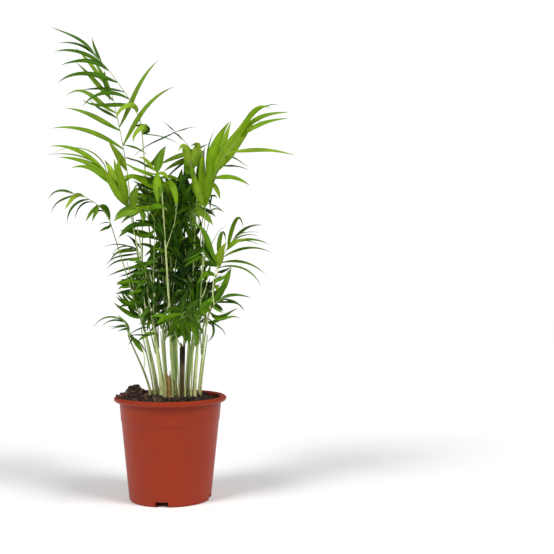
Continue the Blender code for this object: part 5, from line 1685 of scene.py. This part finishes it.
def leaflet_points(leaves, settings, s):
    """Points (copies, points, 3) and coordinates of leaflets. Each section is a roof of two slopes that
    flatten towards the tip, with a thin underside. The half width is W/2 · (opening from a narrow foot by a
    quarter sine) · (1 - s to the power 2.6), so the tip is drawn out."""
    tangent = unit(np.gradient(leaves.line, axis=1))
    across = unit(np.cross(leaves.face, tangent))
    above = np.cross(tangent, across)
    opening = 0.22 + 0.78 * np.sin(0.5 * math.pi * np.clip(s / 0.42, 0, 1))
    outline = opening * (1.0 - s**2.6) ** 1.15
    half = 0.5 * leaves.width[:, None] * outline / outline.max()
    slope = np.tan(settings.fold) * (1.0 - 0.7 * ramp(s, 0.0, 0.6))
    thick = settings.thickness * (0.4 + 0.6 * outline)
    ripple = 0.05 * np.sin(s * 11.0 + leaves.width[:, None] * 9000.0) * half
    sideways = half[..., None] * ACROSS
    upward = (-np.abs(ACROSS) * (half * slope)[..., None] - thick[None, :, None] * BELOW
              + np.abs(ACROSS) * ACROSS * ripple[..., None])
    rings = (leaves.line[:, :, None] + across[:, :, None] * sideways[..., None]
             + above[:, :, None] * upward[..., None])[:, :-1]
    root = leaves.line[:, :1] - tangent[:, :1] * 0.4 * MM
    points = np.concatenate([rings.reshape(len(rings), -1, 3), root, leaves.line[:, -1:]], axis=1)
    grid = np.stack(np.broadcast_arrays(ACROSS, s[:-1, None]), axis=-1).reshape(-1, 2)
    return points, np.concatenate([grid, [[0.0, 0.0], [0.0, 1.0]]])


def leaflet_surface(leaves, settings, s):
    """All the leaflets of a kind in one surface. The last faces of some leaflets take the dry tip's
    material, which is the last one."""
    points, coordinates = leaflet_points(leaves, settings, s)
    rings, sides = settings.stations - 1, len(ACROSS)
    quads = ring_faces(rings, sides)[:, ::-1]
    triangles = np.concatenate([fan_faces(rings * sides, 0, sides, True),
                                fan_faces(rings * sides + 1, (rings - 1) * sides, sides, False)])
    dry = np.random.default_rng(TIP_SEED).uniform(0, 1, len(points)) < DRY_SHARE
    at_tip = np.arange(len(quads)) >= len(quads) - sides, np.arange(len(triangles)) >= sides
    shades = tuple(np.where(dry[:, None] & faces, len(SHADES), leaves.shade[:, None]) for faces in at_tip)
    surface = Surface()
    surface.add(points, quads, triangles, shades, coordinates)
    return surface

# The shades of green, as a factor on the kind's colour and how far it then goes to the light green. They are
# darker and lighter copies of one leaf finish: partly the leaflets' own tones, partly painted shade and
# painted light
SHADES = ((0.28, 0.0), (0.64, 0.0), (1.0, 0.05), (1.0, 0.32), (1.0, 0.64))
# The darker shades, which are partly painted shade, also lose red, by their factor to this power
SHADED_RED_POWER = 0.16
# The share of the leaflets that have a dry tip
DRY_SHARE = 0.12


def leaf_finish(name, base):
    """A leaflet: satin, with fine veins and light streaks along it, a paler middle line that is partly its
    own colour and partly a painted highlight, darker edges that are painted shade, and a cloud of tone."""
    paint = Paint(name, shade(base, 0.78), specular_ior_level=0.09)
    across = paint.axis("X", paint.node("ShaderNodeUVMap", {"uv_map": "blade"}))
    from_middle = abs(across)
    cloud = paint.noise(55.0)
    paint.stain(cloud, 0.30, 0.72, 1.0, shade(base, 1.16))
    paint.stain((across * 9.0 + cloud * 26.0).sine(), 0.0, 1.0, 0.5, shade(base, 1.35))
    # Painted shade: darker towards the edges
    paint.stain(from_middle, 0.5, 1.0, 0.4, shade(base, 0.66))
    # Paler middle line: partly the midrib's own colour, partly a painted highlight
    paint.stain(from_middle, 0.10, 0.02, 0.35, blend(base, MIDDLE_GREEN, 0.5))
    relief = (across * 34.0).sine() * 0.12 + paint.step(from_middle, 0.0, 0.16) * 0.8
    return paint.finished(0.42 + cloud * 0.14, relief, 0.12 * MM, 0.5)


def tip_finish():
    """The dry end of a leaflet: greyish straw."""
    paint = Paint("leaf_tip_dry", DRY_TIP)
    paint.tone = paint.mix(paint.noise(700.0, 2.0), DRY_TIP, (0.100, 0.130, 0.030))
    return paint.finished(0.7)


def nodes_with_slot(slot):
    """The frame's fronds that take their finish from a material slot."""
    parts = frame["record"]["subparts"]
    return [part["node"] for part in parts if part["material_slot"] == slot and "frond" in part["node"]]


class PALM_OT_leaflets(bpy.types.Operator):
    """Makes the leaflets of every frond, joined to one piece for each kind of green"""

    bl_idname = "palm.leaflets"
    bl_label = "Leaflets"

    def execute(self, context):
        settings = context.scene.palm_foliage
        s = np.linspace(0.0, 1.0, settings.stations) ** 0.9
        tip = tip_finish()
        for kind, leaves in self.gathered(s).items():
            surface = leaflet_surface(leaves, settings, s)
            finishes = [*self.greens(kind, getattr(settings, kind)), tip]
            slot = f"leaf_{kind}"
            surface.piece(f"leaflets_{kind}", finishes, slot, nodes_with_slot(slot), sharp=70)
        return {"FINISHED"}

    def gathered(self, s):
        """The leaflets of each kind of green, from the picture and from the even rule. Those of the rule are
        kept inside the mass, behind the front limit and clear of the stalks in front."""
        fronds = frond_paths()
        stalks = [fronds[name][1] for name in FRONT_STALKS]
        kinds = {kind: [] for kind in KINDS}
        ring_ribs = []
        for number, (name, (frond, path, start)) in enumerate(fronds.items()):
            dice = np.random.default_rng(FROND_SEED + number)
            rib = along_path(path, np.linspace(0.0, 1.0, RIB_STATIONS))[0]
            if name in PICTURED:
                depths = hidden_depths(PICTURED[name], rib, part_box(name))
                kinds[frond.tone].append(pictured_leaves(PICTURED[name], depths, rib, 0.0, s))
                continue
            ring_ribs.append(rib)
            for side in ROW_ENDS:
                leaves = grown_row(frond, side, path[start:], dice, s)
                shown = clear_of_stalks(leaves.line, stalks) & open_to_leaves(in_picture(leaves.line))
                shown &= (leaves.line[..., 1] > FRONT_LIMIT).all(axis=1)
                kinds[frond.tone].append(Leaflets(*(column[shown] for column in leaves)))
        carriers = np.vstack([*ring_ribs, *young_stalks([path for _, path, _ in fronds.values()])])
        heart = PICTURED["heart"]
        kinds["green"].append(pictured_leaves(heart, [row[-4] for row in heart], carriers, NEARER_FIRST, s))
        return {kind: Leaflets(*(np.concatenate(column) for column in zip(*groups)))
                for kind, groups in kinds.items()}

    def greens(self, kind, colour):
        """The finishes of a kind of green, one for each shade: darker and lighter copies of one finish,
        partly the leaflets' own tones and partly painted shade and painted light.
        """
        for number, (factor, share) in enumerate(SHADES):
            red, green, blue = shade(colour, factor)
            tone = blend((red * factor**SHADED_RED_POWER, green, blue), LIGHT_GREEN, share)
            yield leaf_finish(f"leaf_{kind}_{number}", tone)


class PALM_OT_ribs(bpy.types.Operator):
    """Makes the stalk and rib of every frond, joined to one piece for each green, and the young stalks"""

    bl_idname = "palm.ribs"
    bl_label = "Stalks and ribs"

    def execute(self, context):
        settings = context.scene.palm_stems
        green, pale = Surface(), Surface()
        paths = {name: path for name, (_, path, _) in frond_paths().items()}
        for name, path in paths.items():
            share = np.linspace(0.0, 1.0, len(path))
            radii = between(STALK_RADII.get(name, STALK_RADIUS), TIP_RADIUS, share**0.7) * MM
            add_tube(pale if name in PALE_STALKS else green, path, radii, RIB_SIDES)
        for line, (*_, radius) in zip(young_stalks(paths.values()), YOUNG_STALKS):
            add_tube(pale, line, np.linspace(radius, 0.5 * radius, YOUNG_STATIONS) * MM, RIB_SIDES)
        greens, pales = tuple(settings.green), tuple(settings.pale)
        finish = stem_finish("rib_finish", shade(greens, 0.8), pales)
        green.piece("ribs", [finish], "stem_green", sharp=60)
        pale.piece("ribs_pale", [stem_finish("rib_pale_finish", pales, greens)], "stem_pale", sharp=60)
        return {"FINISHED"}


class PALM_OT_stage(bpy.types.Operator):
    """Sets the pale floor, the soft lamps, the daylight and the camera"""

    bl_idname = "palm.stage"
    bl_label = "Stage"

    def execute(self, context):
        settings = context.scene.palm_stage
        self.floor(settings)
        self.daylight(context.scene, settings)
        self.lamp("lamp_left", -52, 42, settings.lamp)
        self.lamp("lamp_right", 50, 44, settings.lamp)
        self.camera(context.scene)
        context.scene.view_settings.view_transform = "Standard"
        return {"FINISHED"}

    def floor(self, settings):
        """A level disc of rings about the pot's axis, which close up towards it."""
        radii = settings.floor_radius * np.linspace(1.0, 0.02, FLOOR_RINGS) ** 2
        rings = turned_rings(np.stack([radii, 0 * radii], axis=-1), full_turn(FLOOR_SIDES))
        count, sides = rings.shape[:2]
        points = np.vstack([rings.reshape(-1, 3), [(0, 0, 0)]])
        surface = Surface()
        surface.add(points[None], ring_faces(count, sides),
                    fan_faces(count * sides, (count - 1) * sides, sides, True))
        pale = tuple(settings.floor)
        paint = Paint("floor_finish", pale, specular_ior_level=0.2)
        cloud = paint.noise(3.0, 2.0)
        paint.tone = paint.mix(cloud, shade(pale, 0.985), pale)
        material = paint.finished(0.75 + cloud * 0.1)
        floor = bpy.data.objects.new("floor", surface.mesh("floor", [material], sharp=30))
        bpy.context.scene.collection.objects.link(floor)

    def daylight(self, scene, settings):
        """Even white light. What the camera sees behind the plant is pure white."""
        world = bpy.data.worlds.new("daylight")
        world.use_nodes = True
        tree = world.node_tree
        light, backdrop = tree.nodes["Background"], tree.nodes.new("ShaderNodeBackground")
        for background, strength in ((light, settings.daylight), (backdrop, BACKDROP)):
            background.inputs["Color"].default_value = (1.0, 1.0, 1.0, 1.0)
            background.inputs["Strength"].default_value = strength
        ray = tree.nodes.new("ShaderNodeLightPath").outputs["Is Camera Ray"]
        either = tree.nodes.new("ShaderNodeMixShader")
        for output, socket in zip((ray, light.outputs[0], backdrop.outputs[0]), either.inputs):
            tree.links.new(output, socket)
        tree.links.new(either.outputs[0], tree.nodes["World Output"].inputs["Surface"])
        scene.world = world

    def lamp(self, name, azimuth, height, strength):
        """A far, broad lamp: its azimuth from the front and its height, in degrees, and its strength."""
        light = bpy.data.lights.new(name, "SUN")
        light.energy = strength
        light.angle = LAMP_WIDTH
        lamp = bpy.data.objects.new(name, light)
        turn, rise = math.radians(azimuth), math.radians(height)
        place = Vector((math.sin(turn) * math.cos(rise), -math.cos(turn) * math.cos(rise), math.sin(rise)))
        lamp.location = place * LAMP_DISTANCE
        lamp.rotation_euler = place.to_track_quat("Z", "Y").to_euler()
        bpy.context.scene.collection.objects.link(lamp)

    def camera(self, scene):
        """The viewpoint that matches the ovals of the pot's rim and foot in the picture."""
        data = bpy.data.cameras.new("camera")
        data.lens = data.sensor_width * FOCAL / PICTURE
        camera = bpy.data.objects.new("camera", data)
        camera.location = CAMERA_PLACE
        camera.rotation_euler = CAMERA_TURN
        scene.collection.objects.link(camera)
        scene.camera = camera


class PALM_PT_panel(bpy.types.Panel):
    """Lists the sizes and the steps"""

    bl_label = "Parlour palm"
    bl_space_type = "VIEW_3D"
    bl_region_type = "UI"
    bl_category = "Palm"

    def draw(self, context):
        for group in GROUPS:
            settings = getattr(context.scene, group)
            for key in settings.__annotations__:
                self.layout.prop(settings, key)
        for operator in OPERATORS:
            self.layout.operator(operator.bl_idname)


GROUPS = {
    "palm_pot": PalmPotSettings,
    "palm_soil": PalmSoilSettings,
    "palm_stems": PalmStemSettings,
    "palm_foliage": PalmFoliageSettings,
    "palm_stage": PalmStageSettings,
}
OPERATORS = (
    PALM_OT_stage, PALM_OT_pot, PALM_OT_soil, PALM_OT_crumbs, PALM_OT_stems, PALM_OT_husks, PALM_OT_ribs,
    PALM_OT_leaflets)
CLASSES = (*GROUPS.values(), *OPERATORS, PALM_PT_panel)


def register():
    for item in CLASSES:
        bpy.utils.register_class(item)
    for name, group in GROUPS.items():
        setattr(bpy.types.Scene, name, bpy.props.PointerProperty(type=group))


def unregister():
    for name in GROUPS:
        delattr(bpy.types.Scene, name)
    for item in reversed(CLASSES):
        bpy.utils.unregister_class(item)


def main():
    register()
    for operator in OPERATORS:
        space, name = operator.bl_idname.split(".")
        getattr(getattr(bpy.ops, space), name)()
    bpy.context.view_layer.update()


if __name__ == "__main__":
    main()
